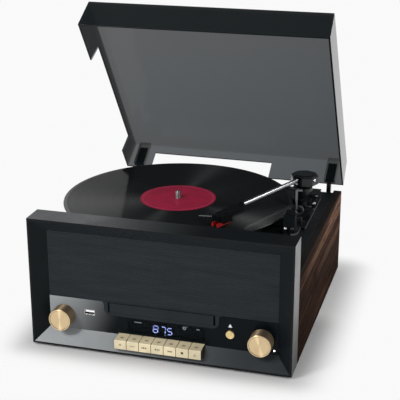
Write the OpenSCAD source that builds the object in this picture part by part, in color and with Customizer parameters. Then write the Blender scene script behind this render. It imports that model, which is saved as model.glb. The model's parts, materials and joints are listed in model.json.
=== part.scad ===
// Stereo music centre with a turntable, a disc tray, a radio and a socket for a memory stick.
// Millimetres, front towards -Y, the floor at zero. It is drawn as photographed, with the lid up.

/* [Cabinet] */

// outer width over the wooden side boards
body_w = 323.2; // [300:0.1:360]

// depth from the front of the bezel to the rear panel
body_d = 334; // [310:1:370]

// height of the deck and of the side boards above the floor
deck_top = 119; // [105:1:140]

// height of the rubber feet
foot_h = 3; // [2:0.5:8]

// thickness of a wooden side board
side_t = 9.4; // [6:0.1:15]

// thickness of the deck and of the bottom panel
deck_t = 4; // [3:0.5:6]

// thickness of the rear panel
rear_t = 3.5; // [2.5:0.5:6]

/* [Bezel] */

// height of the gloss bezel
bezel_h = 162.8; // [140:0.1:180]

// depth of the bezel
bezel_d = 32.2; // [24:0.1:40]

// wall of the bezel
bezel_wall = 3; // [2:0.5:5]

// flat lip round the front of the bezel
lip_w = 2.3; // [1:0.1:5]

// how far the inner panels lie behind the lip
recess = 12.9; // [8:0.1:18]

// width of the opening inside the bezel
open_w = 285; // [260:1:300]

// lower edge of the opening above the bottom of the bezel
open_lo = 19.7; // [14:0.1:26]

// upper edge of the opening above the bottom of the bezel
open_hi = 145.2; // [130:0.1:156]

// thickness of the inner panels
panel_t = 3; // [2:0.5:4]

// rim left round the opening
rim_t = 3.5; // [2:0.5:5]

/* [Front panel] */

// strip of the grille frame left over the front of the tray
over_tray = 0.8; // [0.6:0.1:6]

// strip of the disc surround left under the front of the tray
under_tray = 4.4; // [3:0.1:7]

// strip of the disc surround left beside the front of the tray
beside_tray = 5.1; // [3:0.1:12]

// radius of the lower corners of the disc surround
surround_r = 8; // [3:0.5:12]

// width of the front of the disc tray
tray_w = 132.8; // [128:0.1:140]

// height of the front of the disc tray
tray_h = 12; // [9:0.5:16]

// middle height of the front of the disc tray
tray_z = 56.8; // [52:0.1:60]

// how far the disc tray comes out
tray_travel = 128; // [60:1:140]

// distance of a knob axis from the side of the opening
knob_in = 19.1; // [16:0.1:30]

// height of the knob axes
knob_z = 39.6; // [34:0.1:46]

// radius of a knob
knob_r = 14; // [10:0.5:16]

// how far a knob stands out of the control panel
knob_out = 17.4; // [10:0.1:22]

// spacing of the seven keys
key_pitch = 15.47; // [12:0.01:17]

// gap between two keys
key_gap = 0.45; // [0.3:0.05:1]

// lower edge of the keys
key_z = 11.6; // [8:0.1:16]

// height of a key
key_h = 12.6; // [8:0.1:14]

// how far the keys stand in front of the bezel
key_out = 4.1; // [0:0.1:8]

// travel of a key and of the eject button
key_travel = 1.5; // [0.8:0.1:1.7]

// distance of the eject button from the right side of the opening
eject_in = 57.2; // [45:0.1:66]
// height of the eject button axis
eject_z = 41.9; // [34:0.1:50]
// radius of the eject button
eject_r = 5.2; // [3:0.1:7]

// distance of the socket for a memory stick from the left side of the opening
usb_in = 51.8; // [42:0.1:60]
// height of that socket
usb_z = 46.95; // [40:0.1:54]

// distance of the status light from the right side of the opening
led_in = 4.6; // [3:0.1:10]
// height of the status light
led_z = 27.6; // [26:0.1:34]

// left edge of the display window
window_x0 = -42; // [-60:1:-20]
// right edge of the display window
window_x1 = 54; // [20:1:60]
// lower edge of the display window
window_z0 = 27.4; // [25:0.1:32]
// upper edge of the display window
window_z1 = 44.6; // [38:0.1:45]

/* [Speakers] */

// distance of a speaker axis from the side of the opening
speaker_in = 47.5; // [40:0.5:60]

// outer radius of a speaker
speaker_r = 29; // [24:0.5:29]

// radius of the magnet of a speaker
magnet_r = 15.3; // [12:0.1:18]

/* [Record and platter] */

// left or right place of the spindle
spin_x = -34.3; // [-45:0.1:-20]

// distance of the spindle behind the front of the bezel
spin_y = 195.1; // [180:0.1:210]

// radius of a long playing record
record_r = 150.8; // [150:0.1:152]

// thickness of the record
record_t = 2; // [1.2:0.1:2.6]

// upper face of the record above the deck
record_up = 18.2; // [17:0.1:23]

// radius of the paper label
label_r = 50; // [45:0.5:52]

// radius of the platter
platter_r = 104; // [80:1:112]

// thickness of the mat
mat_t = 2.8; // [1.5:0.1:4]

// height of the platter from its rim to its top
platter_h = 12; // [9:0.5:14]

// radius of the spindle
spindle_r = 3.5; // [3.4:0.01:3.55]

// how far the spindle stands above the record
spindle_up = 10.5; // [6:0.5:14]

// radius of the belt ring under the platter
ring_r = 60; // [45:1:70]

// radius of the motor pulley
pulley_r = 5; // [3:0.5:8]

// distance between the motor and the spindle
motor_dist = 84; // [75:1:88]

// direction of the motor seen from the spindle
motor_dir = 225; // [180:1:270]

/* [Tonearm] */

// radius of the foot of the tonearm base
arm_base_r = 16; // [13:0.5:18]

// gap between the edge of the record and that foot
arm_gap = 5.24; // [3:0.01:12]

// distance of the tonearm pivot behind the front of the bezel
arm_y = 277; // [265:0.5:290]

// height of the middle of the tube above the record
arm_up = 15.3; // [13.6:0.1:17]

// direction of the arm as drawn, seen from above
arm_dir = -112.95; // [-130:0.05:-100]

// distance from the pivot to the stylus
arm_len = 187.3; // [175:0.1:200]

// radius of the tube
tube_r = 3; // [2.5:0.1:3.5]

// width of the eight sided housing over its flats
housing_w = 35; // [28:0.5:38]

// how far the housing lies behind the pivot
housing_back = 8; // [4:0.5:10]

// turn from the drawn place to the arm rest
arm_to_rest = 25.85; // [20:0.05:30]

// thickness of the plate under the tonearm
arm_plate_t = 2.4; // [1.5:0.1:4]

/* [Lid] */

// length of the lid from its rear wall to its front wall
lid_len = 295; // [290:0.5:298]

// height of the lid walls
lid_wall_h = 43; // [36:0.5:46]

// thickness of the lid
lid_t = 2.5; // [2:0.1:4]

// gap between the deck and the walls of the closed lid
lid_gap = 1; // [0.5:0.1:3]

// how far the walls lean out towards their free edges
lid_draft = 1.5; // [0:0.1:3]

// opening angle of the lid as drawn
lid_open = 55; // [0:0.5:60]

// distance of the hinge axis behind the rear panel
hinge_back = 9.5; // [8:0.1:12]

// drop of the hinge axis below the deck
hinge_drop = 13; // [9:0.5:17]

// distance of the hinges from the side boards
hinge_in = 10.2; // [9:0.1:22]

/* [Fits] */

// gap between moving round faces
run_gap = 0.3; // [0.3:0.01:0.4]

// gap round a piece that is set into a panel
set_gap = 0.1; // [0.05:0.01:0.2]

/* [Hidden] */

// smooth round faces
$fn = 64;

// half of the body width
hw = body_w / 2;
// half of the width between the side boards
in_w = hw - side_t;
// bottom of the cabinet above the floor
bot = foot_h;
// lower face of the deck
deck_low = deck_top - deck_t;
// front face of the rear panel
rear_y = body_d - rear_t;
// top of the bezel above the floor
bezel_top = bot + bezel_h;
// rear face of the inner panels
panel_y = recess + panel_t;
// rear face of the plate behind the inner panels
back_y = panel_y + 2;
// thickness of the baffle board
baffle_t = 5;
// front face of the control circuit board
board_y = panel_y + 14.1;
// where the grille frame meets the control panel
split_z = tray_z + tray_h / 2 + over_tray;
// lower edge and width of the disc surround
surround_z = tray_z - tray_h / 2 - under_tray;
surround_w = tray_w + 2 * beside_tray;
// sideways places on the front
knob_x = open_w / 2 - knob_in;
eject_x = open_w / 2 - eject_in;
usb_x = usb_in - open_w / 2;
led_x = open_w / 2 - led_in;
speaker_x = open_w / 2 - speaker_in;
// height of the speaker axes, with the magnets just under the deck
speaker_z = deck_low - magnet_r - 0.7;
// rear end of the tray, of which a part stays inside when it is out
tray_end = back_y + 20.1 + tray_travel;
// middle of the disc in the tray
disc_y = back_y + 74.1;
// half width and rear end of the disc mechanism, and front of its case
mech_hw = tray_w / 2 + 4.6;
mech_end = tray_end + 29;
mech_y = panel_y + baffle_t + run_gap;
// upper face of the record
record_z = deck_top + record_up;
// lower face of the record
record_low = record_z - record_t;
// upper face of the platter
platter_top = record_low - mat_t;
// lower edge of the platter rim
platter_low = platter_top - platter_h;
// lower end of the platter bearing and of the motor, and of the pulley shaft
bearing_z = deck_low - 23;
shaft_z = deck_low - 11;
// place of the motor
motor_x = spin_x + motor_dist * cos(motor_dir);
motor_y = spin_y + motor_dist * sin(motor_dir);
// upper face of the tonearm plate
plate_top = deck_top + arm_plate_t;
// left or right place of the tonearm pivot, clear of the record
arm_x = spin_x + sqrt(pow(record_r + arm_base_r + arm_gap, 2) - pow(arm_y - spin_y, 2));
// height of the middle of the tube
arm_z = record_z + arm_up;
// place of the arm rest, which lies under the tube when the arm is turned back
rest_y = arm_y - 119.5;
rest_x = arm_x + (arm_y - rest_y) / tan(-arm_dir - arm_to_rest);
// places of the speed selector and of the auto stop switch
speed_x = arm_x + 12.5;
speed_y = arm_y - 82;
stop_x = arm_x + 7.7;
stop_y = arm_y - 25;
// height of the axis of the cue lever
cue_z = plate_top + 6.6;
// place of the hinges
hinge_x = in_w - hinge_in;
hinge_y = body_d + hinge_back;
hinge_z = deck_top - hinge_drop;
// free edge and top of the closed lid
lid_edge = deck_top + lid_gap;
lid_top = lid_edge + lid_wall_h;
// half of what the record takes of the left and of the rear edge of the cabinet
left_chord = sqrt(max(0, pow(record_r, 2) - pow(hw + spin_x, 2)));
rear_chord = sqrt(max(0, pow(record_r, 2) - pow(body_d - spin_y, 2)));
// sideways and height places of the screws of the rear panel
screw_x = [in_w - 12.2, in_w - 36.2];
screw_z = [bot + 10, deck_low - 6];
// distance of the feet from the middle, and behind the front
foot_x = hw - 31.6;
foot_y = [bezel_d + 25.8, body_d - 28];
// place of the main board
main_y = mech_end + 15;
main_z = bot + 14;
// height of the top of the tonearm housing
housing_top = arm_z + 5.5;
// bottom of the tonearm housing
housing_low = arm_z - 5;
// width of the seven keys together
keys_w = 7 * key_pitch;
// height of a switch on the control board, and rear end of the stem that presses it
switch_d = 2;
press_end = board_y - switch_d - key_travel - 0.4;
// foremost point, on the knobs or the keys
front_end = min(recess - knob_out, -key_out);
// rearmost point, the upper corner of the open lid
rear_end = hinge_y + (body_d - hinge_y) * cos(lid_open) + (lid_top - hinge_z) * sin(lid_open);

// which sub-part is drawn

// everything is placed by its distance behind the front of the bezel, and from the cabinet's
// middle, then moved so that the origin lies under the middle of the whole
module from_front() {
    translate([-(hw + spin_x - record_r) / 2, -(front_end + rear_end) / 2, 0]) children();
}

// box between two corners
module block(x0, x1, y0, y1, z0, z1) {
    translate([x0, y0, z0]) cube([x1 - x0, y1 - y0, z1 - z0]);
}

// round bar that runs from front to back
module rod_y(x, z, r, y0, y1) {
    translate([x, y0, z]) rotate([-90, 0, 0]) cylinder(r = r, h = y1 - y0);
}

// round bar that runs from left to right
module rod_x(y, z, r, x0, x1) {
    translate([x0, y, z]) rotate([0, 90, 0]) cylinder(r = r, h = x1 - x0);
}

// upright round bar
module rod_z(x, y, r, z0, z1) {
    translate([x, y, z0]) cylinder(r = r, h = z1 - z0);
}

// outline in depth and height, stretched from left to right
module along_x(x0, x1) {
    translate([x0, 0, 0]) rotate([90, 0, 90]) linear_extrude(x1 - x0) children();
}

// outline in width and height, stretched from front to back
module along_y(y0, y1) {
    translate([0, y1, 0]) rotate([90, 0, 0]) linear_extrude(y1 - y0) children();
}

// rectangle with round corners
module round_box(x0, x1, y0, y1, r) {
    translate([x0 + r, y0]) square([x1 - x0 - 2 * r, y1 - y0]);
    translate([x0, y0 + r]) square([x1 - x0, y1 - y0 - 2 * r]);
    for (x = [x0 + r, x1 - r], y = [y0 + r, y1 - r]) translate([x, y]) circle(r = r);
}

// half width, bottom and top of the sloping frame at a distance behind the lip
function half_at(y) = open_w / 2 + (hw - lip_w - open_w / 2) * (1 - y / recess);
function low_at(y) = bot + open_lo - (open_lo - lip_w) * (1 - y / recess);
function high_at(y) = bot + open_hi + (bezel_h - lip_w - open_hi) * (1 - y / recess);

// the space in front of the inner panels, made larger by a wall, down to a given depth
module front_space(grow, deep) {
    intersection() {
        translate([0, 0, bot - 20]) linear_extrude(bezel_h + 40) polygon([
            [-half_at(-1) - grow, -1], [half_at(-1) + grow, -1], [half_at(recess) + grow, recess],
            [half_at(recess) + grow, deep], [-half_at(recess) - grow, deep],
            [-half_at(recess) - grow, recess]]);
        along_x(-hw - 20, hw + 20) polygon([
            [-1, low_at(-1) - grow], [recess, low_at(recess) - grow], [deep, low_at(recess) - grow],
            [deep, high_at(recess) + grow], [recess, high_at(recess) + grow],
            [-1, high_at(-1) + grow]]);
    }
}

// outline of the disc surround with a gap round it
module surround_shape(gap) {
    round_box(-surround_w / 2 - gap, surround_w / 2 + gap, surround_z - gap, split_z + 20,
        surround_r + gap);
}

// mirror a piece to both sides
module both_sides() {
    children();
    mirror([1, 0, 0]) children();
}

// cabinet

module bottom_panel() color([0.05, 0.05, 0.055]) from_front() {
    difference() {
        union() {
            block(-in_w, in_w, bezel_d, rear_y, bot, bot + deck_t);
            // stand-offs of the main board
            for (x = [-52, 62], y = [8, 82]) rod_z(x, main_y + y, 3, bot + deck_t, main_z);
            // blocks for the lower screws of the rear panel
            both_sides() block(screw_x[0] - 6, screw_x[0] + 6, rear_y - 12, rear_y,
                bot + deck_t, screw_z[0] + 7);
        }
        // holes for the pins of the feet
        foot_places() rod_z(0, 0, 2.5 + set_gap, bot - 1, bot + deck_t + 1);
        // holes for the screws
        both_sides() rod_y(screw_x[0], screw_z[0], 1.5 + set_gap, rear_y - 10, rear_y + 1);
        // air slots
        for (i = [0:7]) both_sides() translate([foot_x - 46 + i * 6, foot_y[1] - 96, bot - 1])
            cube([3, 70, deck_t + 2]);
    }
}

module foot_places() {
    for (x = [-foot_x, foot_x], y = foot_y) translate([x, y, 0]) children();
}

module feet() color([0.03, 0.03, 0.03]) from_front() {
    foot_places() {
        rod_z(0, 0, 9, 0, foot_h);
        rod_z(0, 0, 2.5, foot_h, foot_h + deck_t);
    }
}

module side_board() {
    block(in_w, hw, bezel_d, body_d, bot, deck_top);
}

module side_board_right() color([0.25, 0.15, 0.1]) from_front() side_board();

module side_board_left() color([0.25, 0.15, 0.1]) from_front() mirror([1, 0, 0]) side_board();

module rear_panel() color([0.05, 0.05, 0.055]) from_front() difference() {
    block(-in_w, in_w, rear_y, body_d, bot, deck_low);
    // room for the hinge necks
    both_sides() block(hinge_x - 9, hinge_x + 9, rear_y - 1, body_d + 1, hinge_z - 6, deck_low + 1);
    // screw holes
    both_sides() {
        for (i = [0, 1]) rod_y(screw_x[i], screw_z[i], 1.5 + set_gap, rear_y - 1, body_d + 1);
        for (s = [-4.6, 4.6]) rod_y(hinge_x + s, hinge_z - 18, 1.25 + set_gap, rear_y - 1, body_d + 1);
    }
    // air slots
    for (i = [0:11]) block(-100 + i * 9, -96 + i * 9, rear_y - 1, body_d + 1,
        deck_low - 55, deck_low - 19);
    // sockets
    for (x = [52, 70]) rod_y(x, 34, 5 + set_gap, rear_y - 1, body_d + 1);
    block(96 - set_gap, 118 + set_gap, rear_y - 1, body_d + 1, 27 - set_gap, 41 + set_gap);
}

module rear_sockets() color([0.1, 0.1, 0.1]) from_front() {
    // line output pair
    for (x = [52, 70]) difference() {
        union() {
            rod_y(x, 34, 6.5, body_d, body_d + 1.2);
            rod_y(x, 34, 4.1, body_d, body_d + 9);
            rod_y(x, 34, 5, rear_y - 6, body_d);
        }
        rod_y(x, 34, 1.6, body_d + 1, body_d + 10);
    }
    // mains inlet, a figure of eight in a recess
    difference() {
        union() {
            block(96, 118, rear_y - 14, body_d, 27, 41);
            block(94, 120, body_d, body_d + 1.2, 25, 43);
        }
        difference() {
            block(98.5, 115.5, rear_y - 11, body_d + 2, 29.5, 38.5);
            for (x = [103, 111]) rod_y(x, 34, 1.4, rear_y - 12, body_d - 2);
        }
    }
}

module top_deck() color([0.03, 0.03, 0.035]) from_front() {
    difference() {
        union() {
            block(-in_w, in_w, bezel_d, body_d, deck_low, deck_top);
            // blocks for the upper screws of the rear panel
            both_sides() block(screw_x[1] - 6, screw_x[1] + 6, rear_y - 12, rear_y,
                screw_z[1] - 6, deck_low);
        }
        both_sides() {
            block(hinge_x - 9, hinge_x + 9, body_d - 11, body_d + 1, deck_low - 1, deck_top + 1);
            rod_y(screw_x[1], screw_z[1], 1.5 + set_gap, rear_y - 10, rear_y + 1);
        }
        rod_z(spin_x, spin_y, 7 + set_gap, deck_low - 1, deck_top + 1);
        rod_z(motor_x, motor_y, 7, deck_low - 1, deck_top + 1);
        cue_post_place() rod_z(0, 0, 2 + run_gap, deck_low - 1, deck_top + 1);
        speed_slot();
        stop_slot();
    }
}

// bezel and front

module bezel() color([0.01, 0.01, 0.012]) from_front() difference() {
    block(-hw, hw, 0, bezel_d, bot, bezel_top);
    front_space(0, recess + 0.01);
    block(-open_w / 2, open_w / 2, recess - 0.5, panel_y + 1, bot + open_lo, bot + open_hi);
    // hollow rear, closed above the deck
    difference() {
        block(-hw + bezel_wall, hw - bezel_wall, bezel_wall, bezel_d + 1,
            bot + bezel_wall, bezel_top - bezel_wall);
        front_space(rim_t, panel_y);
        block(-hw, hw, bezel_d - bezel_wall, bezel_d + 2, deck_low, bezel_top);
    }
    // opening for the row of keys
    block(-keys_w / 2 - key_gap, keys_w / 2 + key_gap, -1, panel_y + 1, key_z - 0.4, key_z + key_h + 0.4);
}

module baffle_board() color([0.1, 0.1, 0.1]) from_front() difference() {
    block(-hw + bezel_wall + 4, hw - bezel_wall - 4, panel_y, panel_y + baffle_t, split_z + 0.9,
        bezel_top - 10);
    both_sides() rod_y(speaker_x, speaker_z, speaker_r - 3.7, panel_y - 1, panel_y + baffle_t + 1);
}

module grille_frame() color([0.02, 0.02, 0.025]) from_front() {
    // strip under the cloth, with the disc surround that drops down from it
    difference() {
        along_y(recess - 0.5, panel_y) difference() {
            surround_shape(0);
            translate([-hw, split_z]) square([body_w, 40]);
            tray_hole();
        }
    }
    along_y(recess, panel_y) difference() {
        translate([-open_w / 2 + 0.2, split_z]) square([open_w - 0.4, 4.4]);
        tray_hole();
    }
    // frame behind the cloth with a window for each speaker
    along_y(recess + 0.8, panel_y) difference() {
        translate([-open_w / 2 + 0.2, split_z + 4.4])
            square([open_w - 0.4, bot + open_hi - 0.2 - split_z - 4.4]);
        for (x = [-open_w / 2 + 6.5, 6]) translate([x, split_z + 5.9])
            square([open_w / 2 - 12.5, bot + open_hi - split_z - 9.6]);
    }
}

// the slot in the surround for the front of the tray
module tray_hole() {
    translate([-tray_w / 2 - 0.4, tray_z - tray_h / 2 - 0.4]) square([tray_w + 0.8, tray_h + 0.8]);
}

module grille_cloth() color([0.12, 0.13, 0.14]) from_front()
    block(-open_w / 2 + 0.2, open_w / 2 - 0.2, recess, recess + 0.8,
        split_z + 4.4, bot + open_hi - 0.2);

module control_panel() color([0.01, 0.01, 0.012]) from_front() difference() {
    union() {
        // front plate
        along_y(recess, panel_y) difference() {
            translate([-open_w / 2 + 0.2, bot + open_lo + 0.2])
                square([open_w - 0.4, split_z - bot - open_lo - 0.4]);
            surround_shape(0.3);
            translate([-keys_w / 2 - key_gap, 0]) square([keys_w + 2 * key_gap, key_z + key_h + 0.4]);
        }
        // plate behind the rim, which also guides the keys
        along_y(panel_y, back_y) difference() {
            translate([-hw + 11.6, 16]) square([body_w - 23.2, split_z - 16.2]);
            translate([-tray_w / 2 - 0.4, tray_z - tray_h / 2 - 0.4]) square([tray_w + 0.8, tray_h + 4]);
        }
        along_y(panel_y, back_y) translate([-60, 8]) square([120, 8]);
        // posts that carry the circuit board
        for (x = [-104, 104], z = [18, split_z - 5.6]) rod_y(x, z, 3, back_y, board_y);
    }
    // display
    block(window_x0 - set_gap, window_x1 + set_gap, recess - 1, recess + 1.5,
        window_z0 - set_gap, window_z1 + set_gap);
    block(window_x0 + 2, window_x1 - 2, recess, back_y + 1, window_z0 + 2, window_z1 - 2);
    // keys
    for (i = [-3:3]) block(i * key_pitch - 5 - run_gap, i * key_pitch + 5 + run_gap, panel_y - 1,
        back_y + 1, key_z + 3 - run_gap, key_z + 10 + run_gap);
    // eject button
    rod_y(eject_x, eject_z, eject_r + run_gap, recess - 1, panel_y);
    rod_y(eject_x, eject_z, 3 + run_gap, panel_y - 1, back_y + 1);
    // knob shafts
    both_sides() rod_y(knob_x, knob_z, 3 + run_gap, recess - 1, back_y + 1);
    // socket for a memory stick and status light
    block(usb_x - 6.7 - set_gap, usb_x + 6.7 + set_gap, recess - 1, back_y + 1,
        usb_z - 3.3 - set_gap, usb_z + 3.3 + set_gap);
    rod_y(led_x, led_z, 1 + set_gap / 2, recess - 1, back_y + 1);
}

module display_window() color([0.02, 0.02, 0.03, 0.5]) from_front()
    block(window_x0, window_x1, recess, recess + 1.5, window_z0, window_z1);

module display_module() color([0.02, 0.02, 0.02]) from_front()
    block(window_x0 + 3, window_x1 - 3, recess + 1.7, board_y, window_z0 + 2.4, window_z1 - 2.4);

module usb_socket() color([0.7, 0.7, 0.7]) from_front() {
    difference() {
        block(usb_x - 6.7, usb_x + 6.7, recess - 0.3, board_y, usb_z - 3.3, usb_z + 3.3);
        block(usb_x - 6.1, usb_x + 6.1, recess - 1, recess + 12, usb_z - 2.7, usb_z + 2.7);
    }
    block(usb_x - 5.5, usb_x + 5.5, recess + 4.6, recess + 12, usb_z - 0.2, usb_z + 1.6);
}

module status_led() color([0.9, 0.95, 1]) from_front() {
    rod_y(led_x, led_z, 1, recess - 0.4, back_y);
    rod_y(led_x, led_z, 2, back_y, board_y);
}

// circuit board behind the control panel, with the controls that sit on it
module control_board() color([0.1, 0.3, 0.15]) from_front() {
    difference() {
        block(-knob_x - 17.6, knob_x + 17.6, board_y, board_y + 1.6, 9, split_z - 2.6);
        // room for the disc mechanism
        block(-mech_hw - 5, mech_hw + 5, board_y - 1, board_y + 3, tray_z - 14.3, split_z);
    }
    for (i = [-3:3]) block(i * key_pitch - 3, i * key_pitch + 3, board_y - switch_d, board_y,
        key_z + 3.5, key_z + 9.5);
    block(eject_x - 3, eject_x + 3, board_y - switch_d, board_y, eject_z - 3, eject_z + 3);
    both_sides() difference() {
        block(knob_x - 7, knob_x + 7, board_y - 8, board_y, knob_z - 7, knob_z + 7);
        rod_y(knob_x, knob_z, 3 + run_gap, board_y - 9, board_y - 1.5);
    }
}

// speakers

module speaker_frame() translate([speaker_x, panel_y, speaker_z]) rotate([-90, 0, 0]) rotate_extrude()
    polygon([[speaker_r - 4.5, -1.2], [speaker_r, -1.2], [speaker_r, 0], [speaker_r - 4, 0],
        [magnet_r - 0.8, 12.1], [magnet_r, 13], [magnet_r, 25.1], [0, 25.1], [0, 12.1],
        [magnet_r - 2.3, 11.1], [speaker_r - 5.2, 0]]);

module speaker_frame_right() color([0.2, 0.2, 0.2]) from_front() speaker_frame();

module speaker_frame_left() color([0.2, 0.2, 0.2]) from_front() mirror([1, 0, 0]) speaker_frame();

module speaker_cone() translate([speaker_x, panel_y, speaker_z]) rotate([-90, 0, 0]) rotate_extrude()
    polygon([[0, 3.7], [5, 4.3], [7, 5.5], [speaker_r - 6.5, -1.5], [speaker_r - 2.5, -1.7],
        [speaker_r - 2.5, -1.2], [speaker_r - 6.3, -1.2], [7, 6.4], [0, 4.7]]);

module speaker_cone_right() color([0.06, 0.06, 0.06]) from_front() speaker_cone();

module speaker_cone_left() color([0.06, 0.06, 0.06]) from_front() mirror([1, 0, 0]) speaker_cone();

// electronics inside

module main_board() color([0.1, 0.3, 0.15]) from_front() {
    block(-60, 70, main_y, main_y + 90, main_z, main_z + 1.6);
    // transformer, heat sink, chip and capacitors
    translate([0, main_y, main_z + 1.6]) {
        block(20, 62, 6, 42, 0, 31.4);
        block(-50, -46, 6, 60, 0, 25.4);
        block(-32, -2, 16, 46, 0, 3.4);
        for (i = [0:3]) rod_z(-36 + i * 14, 74, 5, 0, 17.4);
    }
}

// disc player

module cd_mechanism() color([0.35, 0.36, 0.38]) from_front() {
    difference() {
        block(-mech_hw, mech_hw, mech_y, mech_end, tray_z - 12.8, tray_z + 23.2);
        // hollow with an open front
        block(-mech_hw + 2, mech_hw - 2, mech_y - 1, mech_end - 2, tray_z - 10.8, tray_z + 21.2);
        // window in the top
        block(-40, 40, mech_y + 9, mech_y + 49, tray_z + 20, tray_z + 24);
    }
    // ledges that carry the tray
    both_sides() block(mech_hw - 11, mech_hw - 2, mech_y, mech_end - 2, tray_z - 10.8, tray_z - 4.1);
    // spindle motor under the tray
    rod_z(0, disc_y, 10, tray_z - 10.8, tray_z - 4.4);
    // clamp over the disc
    block(-mech_hw + 2, mech_hw - 2, disc_y - 8, disc_y + 8, tray_z + 11.2, tray_z + 14.2);
    rod_z(0, disc_y, 13, tray_z + 4.2, tray_z + 11.2);
    // legs on the bottom panel
    both_sides() for (y = [mech_y + 19, mech_end - 9])
        rod_z(mech_hw - 7, y, 4, bot + deck_t, tray_z - 12.8);
}

module cd_tray() color([0.03, 0.03, 0.035]) from_front() {
    // front of the tray
    block(-tray_w / 2, tray_w / 2, recess - 1, recess + 2,
        tray_z - tray_h / 2, tray_z + tray_h / 2);
    // sliding plate with a well for the disc
    difference() {
        union() {
            block(-tray_w / 2 + 3.4, tray_w / 2 - 3.4, recess + 2, tray_end, tray_z - 3.8, tray_z + 1.2);
            block(-tray_w / 2 + 0.4, tray_w / 2 - 0.4, recess + 12, tray_end, tray_z - 3.8, tray_z - 1.8);
        }
        rod_z(0, disc_y, 61, tray_z - 0.4, tray_z + 2);
        rod_z(0, disc_y, 18, tray_z - 5, tray_z + 2);
        block(-18, 18, disc_y, tray_end - 6, tray_z - 5, tray_z + 2);
    }
}

// platter and record

module bearing_housing() color([0.7, 0.7, 0.7]) from_front() difference() {
    union() {
        rod_z(spin_x, spin_y, 7, bearing_z, platter_low + 0.6);
        rod_z(spin_x, spin_y, 16, deck_low - 4, deck_low);
    }
    rod_z(spin_x, spin_y, spindle_r + run_gap, bearing_z + 2, platter_low + 2);
}

module spindle() color([0.8, 0.8, 0.82]) from_front() {
    rod_z(spin_x, spin_y, spindle_r, bearing_z + 2 + run_gap, record_z + spindle_up - 2);
    translate([spin_x, spin_y, record_z + spindle_up - 2])
        cylinder(r1 = spindle_r, r2 = 1.6, h = 2);
}

module platter() color([0.12, 0.12, 0.13]) from_front()
    translate([spin_x, spin_y, 0]) difference() {
        union() {
            rod_z(0, 0, platter_r, platter_top - 4, platter_top);
            difference() {
                rod_z(0, 0, platter_r, platter_low, platter_top);
                rod_z(0, 0, platter_r - 4, platter_low - 1, platter_top - 4);
            }
            difference() {
                rod_z(0, 0, ring_r, platter_low + 1, platter_top - 3);
                rod_z(0, 0, ring_r - 3, platter_low, platter_top - 4);
            }
            rod_z(0, 0, 12, platter_low + 0.9, platter_top - 3);
        }
        rod_z(0, 0, spindle_r + 0.02, platter_low - 1, platter_top + 1);
    }

module slip_mat() color([0.05, 0.05, 0.05]) from_front()
    translate([spin_x, spin_y, 0]) difference() {
        rod_z(0, 0, platter_r - 1, platter_top, record_low);
        rod_z(0, 0, spindle_r + 0.2, platter_top - 1, record_low + 1);
    }

module record() color([0.02, 0.02, 0.02]) from_front() translate([spin_x, spin_y, 0])
    rotate_extrude($fn = 180) polygon([[spindle_r + 0.15, record_low], [record_r - 0.6, record_low],
        [record_r, record_low + 0.6], [record_r, record_z - 0.6], [record_r - 0.8, record_z],
        [record_r - 3, record_z], [record_r - 4.2, record_z - 0.3], [label_r + 8, record_z - 0.3],
        [label_r + 2, record_z], [spindle_r + 0.15, record_z]]);

module record_label() color([0.6, 0.05, 0.2]) from_front() translate([spin_x, spin_y, 0])
    difference() {
        rod_z(0, 0, label_r, record_z, record_z + 0.15);
        rod_z(0, 0, spindle_r + 0.15, record_z - 1, record_z + 1);
    }

module platter_motor() color([0.6, 0.6, 0.6]) from_front() difference() {
    union() {
        rod_z(motor_x, motor_y, 15, bearing_z, deck_low);
        rod_z(motor_x, motor_y, 4, deck_low, deck_low + 1.5);
    }
    rod_z(motor_x, motor_y, 1 + run_gap, shaft_z, deck_low + 2);
}

module motor_pulley() color([0.75, 0.65, 0.3]) from_front() {
    rod_z(motor_x, motor_y, pulley_r, platter_low + 1, platter_top - 4.6);
    rod_z(motor_x, motor_y, pulley_r + 1, platter_low + 0.8, platter_low + 2);
    rod_z(motor_x, motor_y, pulley_r + 1, platter_top - 5.2, platter_top - 4.6);
    rod_z(motor_x, motor_y, 1, shaft_z + run_gap, platter_low + 1);
}

// outline of a loop round two wheels
module loop(big, small) {
    b = acos((big - small) / motor_dist);
    circle(r = big, $fn = 128);
    translate([motor_dist, 0]) circle(r = small);
    polygon([[big * cos(b), big * sin(b)], [motor_dist + small * cos(b), small * sin(b)],
        [motor_dist + small * cos(b), -small * sin(b)], [big * cos(b), -big * sin(b)]]);
}

module drive_belt() color([0.03, 0.03, 0.03]) from_front()
    translate([spin_x, spin_y, platter_low + 2.6]) rotate([0, 0, motor_dir])
        linear_extrude(4) difference() {
            loop(ring_r + run_gap + 1, pulley_r + run_gap + 1);
            loop(ring_r + run_gap, pulley_r + run_gap);
        }

// tonearm

// local frame with X along the arm as drawn and the pivot at the origin
module along_arm() {
    translate([arm_x, arm_y, 0]) rotate([0, 0, arm_dir]) children();
}

module cue_post_place() {
    translate([arm_x - 1.5, arm_y - 37.5, 0]) children();
}

module speed_slot() {
    block(speed_x - 6.5, speed_x + 6.5, speed_y - 1.7, speed_y + 1.7, deck_low - 1, plate_top + 1);
}

module stop_slot() {
    block(stop_x - 3.5, stop_x + 9.5, stop_y - 1.7, stop_y + 1.7, deck_low - 1, plate_top + 1);
}

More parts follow.
